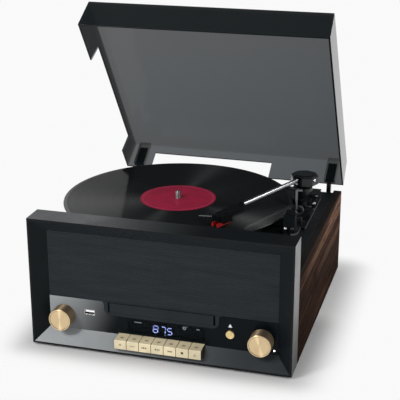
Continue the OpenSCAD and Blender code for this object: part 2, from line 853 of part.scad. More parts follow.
module arm_plate() color([0.02, 0.02, 0.022]) from_front() difference() {
    union() {
        translate([0, 0, deck_top]) linear_extrude(arm_plate_t) polygon([
            [spin_x + platter_r + 14.3, rest_y + 15.5], [in_w - 11.7, rest_y + 15.5],
            [in_w - 12.4, rear_y - 40.5], [in_w - 15.2, rear_y - 18.5], [in_w - 22.2, rear_y - 4.5],
            [spin_x + platter_r + 14.3, rear_y - 4.5]]);
        block(rest_x - 10.3, rest_x + 11.7, rest_y, rest_y + 16.5, deck_top, plate_top);
        rod_z(rest_x + 0.7, rest_y, 11, deck_top, plate_top);
    }
    cue_post_place() rod_z(0, 0, 2 + run_gap, deck_low - 1, plate_top + 1);
    speed_slot();
    stop_slot();
}

module arm_base() color([0.06, 0.06, 0.065]) from_front() {
    difference() {
        union() {
            rod_z(arm_x, arm_y, arm_base_r, plate_top, plate_top + 3.6);
            rod_z(arm_x, arm_y, 11, plate_top, housing_low - 7.5);
            rod_z(arm_x, arm_y, 13, housing_low - 12.5, housing_low - 7.5);
            // bracket of the cue lever
            block(arm_x + 8, arm_x + 17.5, arm_y - 5, arm_y + 5, plate_top, cue_z + 3.5);
        }
        rod_z(arm_x, arm_y, 4 + run_gap, plate_top + 1.6, housing_low);
    }
    rod_x(arm_y, cue_z, 1.2, arm_x + 17.5, arm_x + 22);
}

module arm_housing() color([0.03, 0.03, 0.035]) from_front() along_arm() {
    difference() {
        translate([-housing_back, 0, housing_low]) rotate([0, 0, 22.5])
            linear_extrude(housing_top - housing_low) circle(r = housing_w / 2 / cos(22.5), $fn = 8);
        // hollow
        translate([-housing_back, 0, housing_low + 1.2]) rotate([0, 0, 22.5])
            linear_extrude(housing_top - housing_low - 2.4)
                circle(r = (housing_w / 2 - 1.6) / cos(22.5), $fn = 8);
        // slot for the tube
        block(0, 20, -tube_r - 0.6, tube_r + 0.6, arm_z - tube_r - 0.6, housing_top - 1.2);
    }
    // ears that carry the cross pin
    for (s = [-8.4, 6.4]) difference() {
        block(-3, 3, s, s + 2, housing_low + 1.2, housing_top - 1.6);
        translate([0, s - 1, arm_z]) rotate([-90, 0, 0]) cylinder(r = 1.2 + run_gap, h = 4);
    }
    // neck and stem in the base
    rod_z(0, 0, 9.5, housing_low - 7.5 + run_gap, housing_low);
    rod_z(0, 0, 4, plate_top + 1.6 + run_gap, housing_low - 7.5 + run_gap);
}

module arm_tube() color([0.85, 0.85, 0.87]) from_front() along_arm() {
    translate([0, 0, arm_z]) {
        rotate([0, 90, 0]) cylinder(r = tube_r, h = arm_len - 49);
        translate([-5, -4, -3]) cube([8, 8, 6]);
        rotate([-90, 0, 0]) translate([0, 0, -8.2]) cylinder(r = 1.2, h = 16.4);
        // counterweight inside the housing
        translate([-20, -7, -2.2]) cube([15.5, 14, 4.8]);
    }
}

module headshell() color([0.03, 0.03, 0.035]) from_front() along_arm() {
    // collar
    difference() {
        translate([arm_len - 56, 0, arm_z]) rotate([0, 90, 0]) cylinder(r = tube_r + 1, h = 7.7);
        translate([arm_len - 57, 0, arm_z]) rotate([0, 90, 0]) cylinder(r = tube_r, h = 8);
    }
    difference() {
        translate([0, 0, arm_z - 3.4]) linear_extrude(4.4) polygon([[arm_len - 48.8, -4.5],
            [arm_len - 40, -9], [arm_len + 1, -8], [arm_len + 4, -5], [arm_len + 4, 5],
            [arm_len + 1, 8], [arm_len - 40, 9], [arm_len - 48.8, 4.5]]);
        // slots for the cartridge screws
        for (s = [-5, 5]) block(arm_len - 14, arm_len - 6, s - 1.2, s + 1.2, arm_z, arm_z + 2);
    }
    // finger lift on the inner side
    block(arm_len - 6, arm_len - 2.5, -29, -7, arm_z - 0.4, arm_z + 1);
}

module cartridge() color([0.05, 0.05, 0.05]) from_front() along_arm()
    difference() {
        block(arm_len - 21, arm_len + 1, -7, 7, arm_z - 11, arm_z - 3.4);
        block(arm_len - 5, arm_len + 2, -8, 8, arm_z - 12, arm_z - 8);
    }

module stylus() color([0.7, 0.05, 0.05]) from_front() along_arm() {
    // red holder with a forked front
    difference() {
        block(arm_len - 20, arm_len + 5, -5, 5, arm_z - 13.2, arm_z - 11);
        block(arm_len - 3, arm_len + 6, -2.6, 2.6, arm_z - 14, arm_z - 10);
    }
    for (s = [-5, 2.6]) block(arm_len - 4, arm_len + 5, s, s + 2.4, arm_z - 12, arm_z - 8.6);
    // cantilever with its tip just over the record
    block(arm_len - 4, arm_len + 0.4, -0.5, 0.5, arm_z - 13.2, arm_z - 12.4);
    translate([arm_len, 0, record_z + 0.4])
        cylinder(r1 = 0.15, r2 = 0.4, h = arm_z - 13 - record_z - 0.4);
}

module cue_platform() color([0.5, 0.5, 0.52]) from_front() {
    // curved bar under the tube
    translate([arm_x, arm_y, arm_z - tube_r - 2.9]) difference() {
        linear_extrude(2.4) difference() {
            circle(r = 39.5);
            circle(r = 35);
            rotate([0, 0, -80]) translate([-60, 0]) square([120, 60]);
            rotate([0, 0, -45 - 93]) translate([-60, -120]) mirror([0, 0]) square([60, 180]);
        }
    }
    cue_post_place() rod_z(0, 0, 2, deck_low - 5, arm_z - tube_r - 1.5);
}

module cue_lever() color([0.8, 0.8, 0.82]) from_front() translate([0, arm_y, cue_z]) {
    difference() {
        union() {
            rod_x(0, 0, 3.2, arm_x + 18, arm_x + 21.4);
            rotate([9, 0, 0]) {
                block(arm_x + 18.9, arm_x + 20.5, -20, -1, -0.8, 0.8);
                translate([arm_x + 19.7, -21.5, 0]) sphere(r = 2.6);
            }
        }
        rod_x(0, 0, 1.2 + run_gap, arm_x + 17, arm_x + 23);
    }
}

module arm_rest() color([0.03, 0.03, 0.035]) from_front() {
    block(rest_x - 6.5, rest_x + 8, rest_y - 6.5, rest_y + 6.5, plate_top, arm_z - 9.5);
    block(rest_x - 4, rest_x + 8, rest_y - 2.5, rest_y + 2.5, arm_z - 9.5, arm_z - tube_r - run_gap);
    block(rest_x + tube_r + 1, rest_x + 8, rest_y - 2.5, rest_y + 2.5, arm_z - 9.5, arm_z + 1.5);
    // pin of the clip
    rod_y(rest_x + 6, arm_z - 5.5, 1.2, rest_y - 6.6, rest_y - 2.5);
    // round cap in front
    rod_y(rest_x - 3.5, plate_top + 4.6, 2, rest_y - 7.9, rest_y - 6.5);
}

// hook that closes over the tube when the arm lies on its rest, drawn open
module arm_clip() color([0.6, 0.6, 0.62]) from_front() 
    translate([rest_x + 6, 0, arm_z - 5.5]) rotate([0, 100, 0])
    along_y(rest_y - 5.8, rest_y - 2.8) difference() {
        union() {
            circle(r = 2.3);
            translate([-5.73, 5.5]) difference() {
                circle(r = 6);
                circle(r = 4);
                rotate([0, 0, 200]) square([20, 20]);
            }
            polygon([[-2, 0.5], [2.2, -0.5], [0.2, 6.5], [-1.6, 5]]);
        }
        circle(r = 1.2 + run_gap);
    }

// lever through the deck, with a grip above the plate and a catch below the deck
module sliding_lever() {
    block(-1.8, 1.8, -1.4, 1.4, deck_low - 2, plate_top + 1);
    block(-2.4, 2.4, -4, 4, plate_top + run_gap, plate_top + 5);
    block(-3.4, 3.4, -3.4, 3.4, deck_low - 3, deck_low - run_gap);
}

module speed_selector() color([0.1, 0.1, 0.1]) from_front()
    translate([speed_x, speed_y, 0]) sliding_lever();

module auto_stop_switch() color([0.1, 0.1, 0.1]) from_front()
    translate([stop_x, stop_y, 0]) sliding_lever();

// lid, drawn closed and then turned up about its hinge axis

module lid_up() {
    translate([0, hinge_y, hinge_z]) rotate([-lid_open, 0, 0]) translate([0, -hinge_y, -hinge_z])
        children();
}

// solid block with leaning walls
module lid_solid(shrink) {
    y0 = body_d - lid_len;
    z0 = lid_edge;
    intersection() {
        along_y(y0 - 5, body_d + 5) polygon([[-hw + shrink, z0 - 1], [hw - shrink, z0 - 1],
            [hw - shrink, z0], [hw - shrink - lid_draft, lid_top - shrink],
            [-hw + shrink + lid_draft, lid_top - shrink], [-hw + shrink, z0]]);
        along_x(-hw - 5, hw + 5) polygon([[y0 + shrink, z0 - 1], [y0 + shrink, z0],
            [y0 + shrink + lid_draft, lid_top - shrink], [body_d - shrink, lid_top - shrink],
            [body_d - shrink, z0 - 1]]);
    }
}

module lid() color([0.15, 0.16, 0.17, 0.8]) from_front() lid_up() {
    edge = lid_edge;
    difference() {
        lid_solid(0);
        lid_solid(lid_t);
        block(-hw - 9, hw + 9, 0, body_d + 9, edge - 9, edge);
        // the record reaches through the left wall
        along_x(-hw - 5, -hw + 9) polygon([[spin_y - left_chord - 9.3, edge - 1],
            [spin_y - left_chord - 5.3, lid_top - 14], [spin_y + left_chord + 21.6, lid_top - 14],
            [spin_y + left_chord + 20.1, edge - 1]]);
        // and through the rear wall
        along_y(body_d - 9, body_d + 5) polygon([[spin_x - rear_chord - 31, edge - 1],
            [spin_x - rear_chord - 31, lid_top - 15], [spin_x + rear_chord + 28.6, lid_top - 15],
            [spin_x + rear_chord + 28.6, edge - 1]]);
    }
    // pockets for the hinge leaves
    both_sides() difference() {
        block(hinge_x - 8, hinge_x + 8, body_d - lid_t - 6, body_d - lid_t, edge + 1.5, lid_top - lid_t);
        block(hinge_x - 6.2, hinge_x + 6.2, body_d - lid_t - 4.4, body_d - lid_t - 1.6,
            edge, edge + 32.2);
    }
}

module hinge_leaves() color([0.08, 0.08, 0.085]) from_front() lid_up() both_sides() difference() {
    union() {
        // tongue in the pocket of the lid
        block(hinge_x - 6, hinge_x + 6, body_d - lid_t - 4.3, body_d - lid_t - 1.7,
            lid_edge - 1.5, lid_edge + 32);
        // neck down to the axis
        along_x(hinge_x - 3, hinge_x + 3) polygon([[body_d - lid_t - 4.3, lid_edge + 4],
            [body_d - lid_t - 1.7, lid_edge + 4], [body_d - lid_t - 1.7, lid_edge],
            [hinge_y + 2.4, hinge_z + 3.9], [hinge_y - 2.4, hinge_z - 3.9],
            [body_d - lid_t - 4.3, lid_edge - 5]]);
        rod_x(hinge_y, hinge_z, 4.6, hinge_x - 3, hinge_x + 3);
    }
    rod_x(hinge_y, hinge_z, 1.75 + run_gap, hinge_x - 8, hinge_x + 8);
}

module hinge_brackets() color([0.08, 0.08, 0.085]) from_front() both_sides() {
    difference() {
        union() {
            block(hinge_x - 8.5, hinge_x + 8.5, body_d, body_d + 2.5, hinge_z - 26, hinge_z - 8);
            for (x = [hinge_x - 6.8, hinge_x + 3.4]) {
                along_x(x, x + 3.4) polygon([[body_d, hinge_z - 14], [body_d, hinge_z - 8],
                    [hinge_y - 2.6, hinge_z + 3.8], [hinge_y + 4.4, hinge_z - 1],
                    [body_d + 4, hinge_z - 14]]);
                rod_x(hinge_y, hinge_z, 4.6, x, x + 3.4);
            }
        }
        for (s = [-4.6, 4.6]) rod_y(hinge_x + s, hinge_z - 18, 1.25 + set_gap, body_d - 1, body_d + 4);
    }
    rod_x(hinge_y, hinge_z, 1.75, hinge_x - 6.8, hinge_x + 6.8);
}

module screws() color([0.7, 0.7, 0.7]) from_front() both_sides() {
    for (i = [0, 1]) {
        rod_y(screw_x[i], screw_z[i], 1.5, rear_y - 8, body_d);
        rod_y(screw_x[i], screw_z[i], 3, body_d, body_d + 1.8);
    }
    for (s = [-4.6, 4.6]) {
        rod_y(hinge_x + s, hinge_z - 18, 1.25, rear_y - 2, body_d + 2.5);
        rod_y(hinge_x + s, hinge_z - 18, 2.4, body_d + 2.5, body_d + 3.9);
    }
}

// knobs and keys

module knob() {
    face_y = recess - knob_out;
    difference() {
        union() {
            rod_y(knob_x, knob_z, knob_r, face_y + 1, recess - 0.4);
            translate([knob_x, face_y, knob_z]) rotate([-90, 0, 0])
                cylinder(r1 = knob_r - 1, r2 = knob_r, h = 1);
            rod_y(knob_x, knob_z, 3, recess - 1, board_y - 2);
        }
        // shallow dish in the face
        rod_y(knob_x, knob_z, knob_r - 2, face_y - 1, face_y + 0.6);
        // marker groove
        block(knob_x - 0.5, knob_x + 0.5, face_y - 1, face_y + 1, knob_z + 5, knob_z + knob_r + 1);
    }
}

module volume_knob() color([0.75, 0.62, 0.42]) from_front() knob();

module tuning_knob() color([0.75, 0.62, 0.42]) from_front() mirror([1, 0, 0]) knob();

module key(i) {
    x0 = (i - 4) * key_pitch - key_pitch / 2 + key_gap / 2;
    x1 = x0 + key_pitch - key_gap;
    xm = (i - 4) * key_pitch;
    along_x(x0, x1) polygon([[-key_out, key_z], [-key_out, key_z + key_h - 1.6],
        [-key_out + 0.7, key_z + key_h - 1], [recess, key_z + key_h], [recess + 1.1, key_z + key_h],
        [recess + 1.1, key_z]]);
    // stem and catch behind the guide plate
    block(xm - 5, xm + 5, recess + 1.1, press_end, key_z + 3, key_z + 10);
    block(xm - 6.2, xm + 6.2, back_y + run_gap, back_y + 1.3, key_z + 3, key_z + 10);
}

module key_1() color([0.85, 0.8, 0.65]) from_front() key(1);
module key_2() color([0.85, 0.8, 0.65]) from_front() key(2);
module key_3() color([0.85, 0.8, 0.65]) from_front() key(3);
module key_4() color([0.85, 0.8, 0.65]) from_front() key(4);
module key_5() color([0.85, 0.8, 0.65]) from_front() key(5);
module key_6() color([0.85, 0.8, 0.65]) from_front() key(6);
module key_7() color([0.85, 0.8, 0.65]) from_front() key(7);

module eject_button() color([0.75, 0.62, 0.42]) from_front() {
    rod_y(eject_x, eject_z, eject_r, recess - 3, recess + 1.2);
    rod_y(eject_x, eject_z, 3, recess + 1, press_end);
    rod_y(eject_x, eject_z, 4.2, back_y + run_gap, back_y + 1.3);
}

bottom_panel();
side_board_left();
side_board_right();
rear_panel();
top_deck();
bezel();
baffle_board();
grille_frame();
grille_cloth();
control_panel();
display_window();
display_module();
usb_socket();
status_led();
speaker_frame_left();
speaker_frame_right();
speaker_cone_left();
speaker_cone_right();
main_board();
control_board();
rear_sockets();
platter_motor();
drive_belt();
bearing_housing();
arm_plate();
arm_base();
arm_rest();
hinge_brackets();
cd_mechanism();
feet();
screws();
motor_pulley();
platter();
slip_mat();
record();
record_label();
spindle();
arm_housing();
arm_tube();
headshell();
cartridge();
stylus();
cue_platform();
cue_lever();
arm_clip();
speed_selector();
auto_stop_switch();
lid();
hinge_leaves();
tuning_knob();
volume_knob();
key_1();
key_2();
key_3();
key_4();
key_5();
key_6();
key_7();
eject_button();
cd_tray();
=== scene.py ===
import json
import math

import bpy
from mathutils import Matrix, Vector


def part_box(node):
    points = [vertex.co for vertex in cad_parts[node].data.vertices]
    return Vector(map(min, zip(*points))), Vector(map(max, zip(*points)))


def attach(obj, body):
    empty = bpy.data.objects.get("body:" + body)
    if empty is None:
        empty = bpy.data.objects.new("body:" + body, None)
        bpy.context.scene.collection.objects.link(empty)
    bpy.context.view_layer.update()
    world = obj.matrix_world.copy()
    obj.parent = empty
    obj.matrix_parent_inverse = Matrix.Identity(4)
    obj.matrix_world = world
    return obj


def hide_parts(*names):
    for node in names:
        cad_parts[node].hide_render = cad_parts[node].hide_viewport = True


MM = 0.001
ops = bpy.ops

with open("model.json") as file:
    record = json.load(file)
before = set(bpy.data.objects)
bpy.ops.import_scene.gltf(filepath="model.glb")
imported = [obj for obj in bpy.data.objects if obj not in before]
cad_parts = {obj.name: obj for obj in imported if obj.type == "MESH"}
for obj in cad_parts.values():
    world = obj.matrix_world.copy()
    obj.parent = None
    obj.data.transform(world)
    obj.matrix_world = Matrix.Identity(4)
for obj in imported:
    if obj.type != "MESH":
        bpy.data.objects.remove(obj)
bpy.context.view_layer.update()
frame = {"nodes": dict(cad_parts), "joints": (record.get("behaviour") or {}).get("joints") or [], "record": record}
nodes = frame["nodes"]
body_of = {n: b for b, members in frame["record"]["behaviour"]["bodies"].items() for n in members}
joint_at = {j["name"]: Vector(j["pos_m"]) for j in frame["joints"]}

# places are given in millimetres from the cabinet's middle, behind the bezel front and above the floor
bezel_lo, bezel_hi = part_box("bezel")
start = Vector(((bezel_lo.x + bezel_hi.x) / 2, bezel_lo.y, 0))


def at(x, y, z):
    return start + Vector((x, y, z)) * MM


def mm(c):
    """A place in the scene in millimetres of the cabinet."""
    return (c - start) / MM


def near(c, x, y, reach):
    """Whether a place lies within reach of an upright line, in mm."""
    p = mm(c)
    return math.hypot(p.x - x, p.y - y) < reach


# Modelling

def deselect():
    if bpy.context.object and bpy.context.object.mode != "OBJECT":
        ops.object.mode_set(mode="OBJECT")
    ops.object.select_all(action="DESELECT")


def activate(piece):
    deselect()
    piece.select_set(True)
    bpy.context.view_layer.objects.active = piece


def edit(piece, kind="FACE"):
    """Opens a piece in edit mode with nothing selected."""
    activate(piece)
    ops.object.mode_set(mode="EDIT")
    ops.mesh.select_mode(type=kind)
    ops.mesh.select_all(action="DESELECT")


def leave():
    ops.object.mode_set(mode="OBJECT")


def choose(piece, kind, test):
    """Selects the faces, edges or vertices whose middle passes the test, in edit mode."""
    edit(piece, kind)
    leave()
    mesh = piece.data
    if kind == "FACE":
        for f in mesh.polygons:
            f.select = bool(test(f.center, f.normal))
    elif kind == "EDGE":
        for e in mesh.edges:
            a, b = (mesh.vertices[i].co for i in e.vertices)
            e.select = bool(test((a + b) / 2, b - a))
    else:
        for v in mesh.vertices:
            v.select = bool(test(v.co, v.normal))
    ops.object.mode_set(mode="EDIT")


def push(piece, kind, test, way):
    """Moves the chosen faces, edges or points of a piece."""
    choose(piece, kind, test)
    ops.transform.translate(value=way)
    leave()


def chamfer(piece, width, segments, test):
    """Bevels the chosen edges only."""
    choose(piece, "EDGE", test)
    ops.mesh.bevel(offset=width, segments=segments, affect="EDGES")
    leave()


def outward_faces():
    """Turns all faces of the open mesh outwards and leaves edit mode."""
    ops.mesh.select_all(action="SELECT")
    ops.mesh.normals_make_consistent(inside=False)
    leave()


def settle(piece):
    """Applies the object's own place, so that it sits at the origin."""
    activate(piece)
    ops.object.transform_apply(location=True, rotation=True, scale=True)


def apply_all(piece):
    activate(piece)
    for m in list(piece.modifiers):
        ops.object.modifier_apply(modifier=m.name)


def smooth(piece, degrees=35):
    """Smooth shading in which the large flat faces stay flat up to their rounded edges."""
    activate(piece)
    ops.object.shade_smooth_by_angle(angle=math.radians(degrees))
    even = piece.modifiers.new("flat faces", "WEIGHTED_NORMAL")
    even.keep_sharp = True
    even.weight = 100
    apply_all(piece)


def soften(piece, width, segments=2, degrees=35, sharp=75):
    """Rounds every edge sharper than an angle."""
    bevel = piece.modifiers.new("round edges", "BEVEL")
    bevel.width = width
    bevel.segments = segments
    bevel.limit_method = "ANGLE"
    bevel.angle_limit = math.radians(degrees)
    bevel.miter_outer = "MITER_ARC"
    bevel.use_clamp_overlap = True
    apply_all(piece)
    smooth(piece, sharp)


def name_piece(piece, name, finish):
    piece.name = piece.data.name = name
    piece.data.materials.clear()
    piece.data.materials.append(finish)
    return piece


def joined(pieces, name):
    """Makes several pieces one, with a name of its own."""
    activate(pieces[0])
    for p in pieces:
        p.select_set(True)
    ops.object.join()
    pieces[0].name = pieces[0].data.name = name
    return pieces[0]


def slab(name, lo, hi, finish):
    """Block between two corners, to be shaped further."""
    lo, hi = Vector(lo), Vector(hi)
    deselect()
    ops.mesh.primitive_cube_add(size=1, location=(lo + hi) / 2)
    piece = bpy.context.object
    piece.scale = hi - lo
    settle(piece)
    return name_piece(piece, name, finish)


TURN = {"x": (0, math.pi / 2, 0), "y": (-math.pi / 2, 0, 0), "z": (0, 0, 0)}


def disc(name, centre, radius, axis, finish, sides=64):
    """Flat disc whose normal points along an axis, to be drawn out by extrude."""
    deselect()
    ops.mesh.primitive_circle_add(vertices=sides, radius=radius, fill_type="NGON",
                                  location=centre, rotation=TURN[axis])
    piece = bpy.context.object
    settle(piece)
    return name_piece(piece, name, finish)


def turned(name, centre, axis, profile, finish, sides=96, sharp=30):
    """Lathe work: a disc drawn out ring by ring along (radius, place on the axis) in mm."""
    way = {"x": Vector((1, 0, 0)), "y": Vector((0, 1, 0)), "z": Vector((0, 0, 1))}[axis]
    radius, place = profile[0]
    piece = disc(name, Vector(centre) + way * place * MM, radius * MM, axis, finish, sides)
    edit(piece)
    ops.mesh.select_all(action="SELECT")
    for r, s in profile[1:]:
        ops.mesh.extrude_region_move(TRANSFORM_OT_translate={"value": way * (s - place) * MM})
        if abs(r - radius) > 1e-9:
            across = [r / radius if abs(c) < 0.5 else 1 for c in way]
            ops.transform.resize(value=across, center_override=Vector(centre) + way * s * MM)
        radius, place = r, s
    ops.mesh.select_all(action="SELECT")
    ops.mesh.remove_doubles(threshold=1e-6)
    outward_faces()
    smooth(piece, sharp)
    return piece


# The CAD nodes and what stands for them

def copy_of(node, flat_faces=True):
    """A CAD node's mesh in a piece of its own, merged and cleaned for modelling."""
    piece = nodes[node].copy()
    piece.data = nodes[node].data.copy()
    piece.parent = None
    for key in list(piece.keys()):
        del piece[key]
    bpy.context.scene.collection.objects.link(piece)
    edit(piece)
    ops.mesh.select_all(action="SELECT")
    ops.mesh.customdata_custom_splitnormals_clear()
    ops.mesh.remove_doubles(threshold=2e-6)
    if flat_faces:
        ops.mesh.dissolve_limited(angle_limit=math.radians(0.6), use_dissolve_boundaries=False)
    leave()
    return piece


def stands_for(piece, node):
    """A piece that rides in a CAD node's place and hides it."""
    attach(piece, body_of[node])
    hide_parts(node)


def with_node(piece, node):
    """A piece of its own beside a CAD node, on the same body."""
    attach(piece, body_of[node])


def dressed(node, finish, width=0.3, segments=2, degrees=35, shaping=None, flat_faces=True):
    """The node's own shape, shaped further where needed, with rounded edges and its finish."""
    piece = copy_of(node, flat_faces)
    if shaping:
        shaping(piece)
    name_piece(piece, node + "_shell", finish)
    soften(piece, width * MM, segments, degrees)
    stands_for(piece, node)
    return piece


def plain(node, finish):
    """A CAD node whose shape is right keeps it, and takes its finish."""
    node_slots = nodes[node].material_slots
    if not node_slots:
        nodes[node].data.materials.append(finish)
    for s in node_slots:
        s.material = finish


def paint(piece, finish, test):
    """Gives the faces whose middle passes the test a second finish."""
    piece.data.materials.append(finish)
    index = len(piece.data.materials) - 1
    for f in piece.data.polygons:
        if test(f.center, f.normal):
            f.material_index = index


# Shader wiring

def toned(colour, by, more=0.0):
    """A colour made darker or lighter."""
    return tuple(min(1, c * by + more) for c in colour)


class Wiring:
    """Short ways to add shader nodes to a tree and to join them."""

    def __init__(self, tree):
        self.tree = tree

    def feed(self, socket, value):
        if isinstance(value, bpy.types.NodeSocket):
            self.tree.links.new(value, socket)
        else:
            socket.default_value = value

    def node(self, kind, settings=None, **inputs):
        """Adds a node; an input goes by its name, or as i0, i1 and so on by its number."""
        n = self.tree.nodes.new(kind)
        for k, v in (settings or {}).items():
            setattr(n, k, v)
        for k, v in inputs.items():
            numbered = k[0] == "i" and k[1:].isdigit()
            self.feed(n.inputs[int(k[1:]) if numbered else k.replace("_", " ")], v)
        return n

    def math(self, kind, a, b=0.0):
        return self.node("ShaderNodeMath", {"operation": kind}, i0=a, i1=b).outputs[0]

    def vector(self, kind, a, b=(0, 0, 0), **more):
        n = self.node("ShaderNodeVectorMath", {"operation": kind}, i0=a, i1=b, **more)
        return n.outputs["Value" if kind == "LENGTH" else "Vector"]

    def remap(self, value, low, high, to_low, to_high, kind="LINEAR"):
        return self.node("ShaderNodeMapRange", {"interpolation_type": kind}, Value=value, From_Min=low,
                         From_Max=high, To_Min=to_low, To_Max=to_high).outputs[0]

    def noise(self, scale, where=None, detail=3, rough=0.5, twist=0.0):
        return self.node("ShaderNodeTexNoise", None, Scale=scale, Detail=detail, Roughness=rough,
                         Distortion=twist, Vector=where or self.place()).outputs["Fac"]

    def lines(self, along, scale, detail=3, rough=0.5):
        """Noise in one dimension: lines across the way in which the value grows."""
        return self.node("ShaderNodeTexNoise", {"noise_dimensions": "1D"}, W=along, Scale=scale,
                         Detail=detail, Roughness=rough).outputs["Fac"]

    def ramp(self, value, *stops):
        n = self.node("ShaderNodeValToRGB", None, Fac=value)
        band = n.color_ramp
        while len(band.elements) < len(stops):
            band.elements.new(0.5)
        for element, (where, colour) in zip(band.elements, stops):
            element.position = where
            element.color = (*colour, 1)
        return n.outputs["Color"]

    def blend(self, share, a, b, kind="MIX"):
        n = self.node("ShaderNodeMix", {"data_type": "RGBA", "blend_type": kind}, i0=share)
        for socket, value in ((n.inputs[6], a), (n.inputs[7], b)):
            self.feed(socket, value if isinstance(value, bpy.types.NodeSocket) else (*value, 1))
        return n.outputs[2]

    def place(self, scale=(1, 1, 1), centre=(0, 0, 0)):
        """Object coordinates, centred and stretched."""
        coordinates = self.node("ShaderNodeTexCoord").outputs["Object"]
        moved = self.node("ShaderNodeMapping", None, Vector=coordinates,
                          Location=tuple(-c for c in centre)).outputs[0]
        if scale != (1, 1, 1):
            moved = self.node("ShaderNodeMapping", None, Vector=moved, Scale=scale).outputs[0]
        return moved

    def spot(self, centre=start):
        """The three object coordinates one by one, from a centre."""
        return self.node("ShaderNodeSeparateXYZ", None, Vector=self.place(centre=centre)).outputs

    def across(self, centre, axis):
        """The way outwards from an axis through a centre."""
        keep = {"x": (0, 1, 1), "y": (1, 0, 1), "z": (1, 1, 0)}[axis]
        return self.vector("MULTIPLY", self.place(centre=centre), keep)

    def radius(self, centre, axis="z"):
        """Distance from an axis through a centre."""
        return self.vector("LENGTH", self.across(centre, axis))


class Finish(Wiring):
    """A material with a Principled shader, wired by name."""

    def __init__(self, name, colour, rough, **sockets):
        self.material = bpy.data.materials.new(name)
        self.material.use_nodes = True
        super().__init__(self.material.node_tree)
        self.shader = self.tree.nodes["Principled BSDF"]
        self.wire((*colour, 1), "Base Color")
        self.wire(rough, "Roughness")
        for socket, value in sockets.items():
            self.wire(value, socket.replace("_", " "))

    def wire(self, value, socket):
        self.feed(self.shader.inputs[socket], value)

    def bump(self, height, depth, strength=1.0):
        """depth is the real height of the relief in metres."""
        self.wire(self.node("ShaderNodeBump", None, Strength=strength, Distance=depth,
                            Height=height).outputs[0], "Normal")

    def tangent(self, way):
        """The way in which the highlight is drawn out, given in the object's space."""
        self.wire(self.node("ShaderNodeVectorTransform", {"vector_type": "VECTOR", "convert_from": "OBJECT",
                                                          "convert_to": "WORLD"}, Vector=way).outputs[0],
                  "Tangent")

    def outward_tangent(self, centre, axis):
        """Rings round an axis through a centre spread the highlight outwards from it."""
        self.tangent(self.vector("NORMALIZE", self.across(centre, axis)))


# Finishes

def moulded(name, colour, rough, grain=900, relief=0.00002, spread=0.08, **sockets):
    """Moulded plastic: a fine grain in the surface and slightly uneven gloss."""
    f = Finish(name, colour, rough, **sockets)
    f.wire(f.ramp(f.noise(35, detail=4), (0.3, toned(colour, 0.85)), (0.7, toned(colour, 1.2))),
           "Base Color")
    f.wire(f.remap(f.noise(120), 0.3, 0.7, rough - spread, rough + spread), "Roughness")
    f.bump(f.noise(grain, detail=2), relief)
    return f.material


def lacquer(name, colour, rough, painted_highlight=None, **sockets):
    """Glossy black plastic: nearly a mirror, with faint flow marks and dust-fine haze.

    painted_highlight holds a paler colour that is painted on the left end as a painted highlight, the two
    places in metres between which it gives way to the black, and how far its border leans."""
    f = Finish(name, colour, rough, **sockets)
    black = f.ramp(f.noise(2600, detail=1), (0.62, colour), (0.8, toned(colour, 1.8, 0.004)))
    # painted highlight: towards the left end the black gives way to the paler colour
    if painted_highlight:
        pale, left, right, lean = painted_highlight
        spot = f.spot()
        leaning = f.math("ADD", spot["X"], f.math("MULTIPLY", f.math("SUBTRACT", 0.06, spot["Z"]), lean))
        black = f.blend(f.remap(leaning, left, right, 1.0, 0.0, "SMOOTHSTEP"), black, pale)
    f.wire(black, "Base Color")
    f.wire(f.remap(f.noise(22, detail=5, rough=0.6), 0.35, 0.7, rough * 0.7, rough * 1.5), "Roughness")
    f.bump(f.noise(14, detail=1), 0.00004, 0.35)
    return f.material


def brushed(name, colour, rough, along=(1, 1, 1), relief=0.000008):
    """Metal with fine straight brushing: the pattern is stretched along one axis."""
    f = Finish(name, colour, rough, Metallic=1.0)
    streak = f.noise(1400, f.place(scale=along))
    f.wire(f.ramp(streak, (0.3, toned(colour, 0.86)), (0.7, colour)), "Base Color")
    f.wire(f.remap(streak, 0.3, 0.7, rough * 0.75, rough * 1.3), "Roughness")
    f.bump(streak, relief)
    return f.material


def spun(name, colour, rough, centre, axis):
    """Metal turned on a lathe: rings round an axis that stretch the highlight into fans."""
    f = Finish(name, colour, rough, Metallic=1.0, Anisotropic=0.9)
    rings = f.lines(f.radius(centre, axis), 2600)
    f.wire(f.ramp(rings, (0.35, toned(colour, 0.9)), (0.65, colour)), "Base Color")
    f.bump(rings, 0.00001)
    f.outward_tangent(centre, axis)
    return f.material


def turned_side(name, colour, rough, centre, axis="Y"):
    """Rim of a turned piece: the fine rings of the lathe draw the light out along the axis."""
    f = Finish(name, colour, rough, Metallic=1.0, Anisotropic=0.97)
    rings = f.lines(f.spot(centre)[axis], 2200)
    f.wire(f.ramp(rings, (0.35, toned(colour, 0.8)), (0.65, colour)), "Base Color")
    f.bump(rings, 0.000006)
    f.tangent((0, 1, 0) if axis == "Y" else (0, 0, 1))
    return f.material


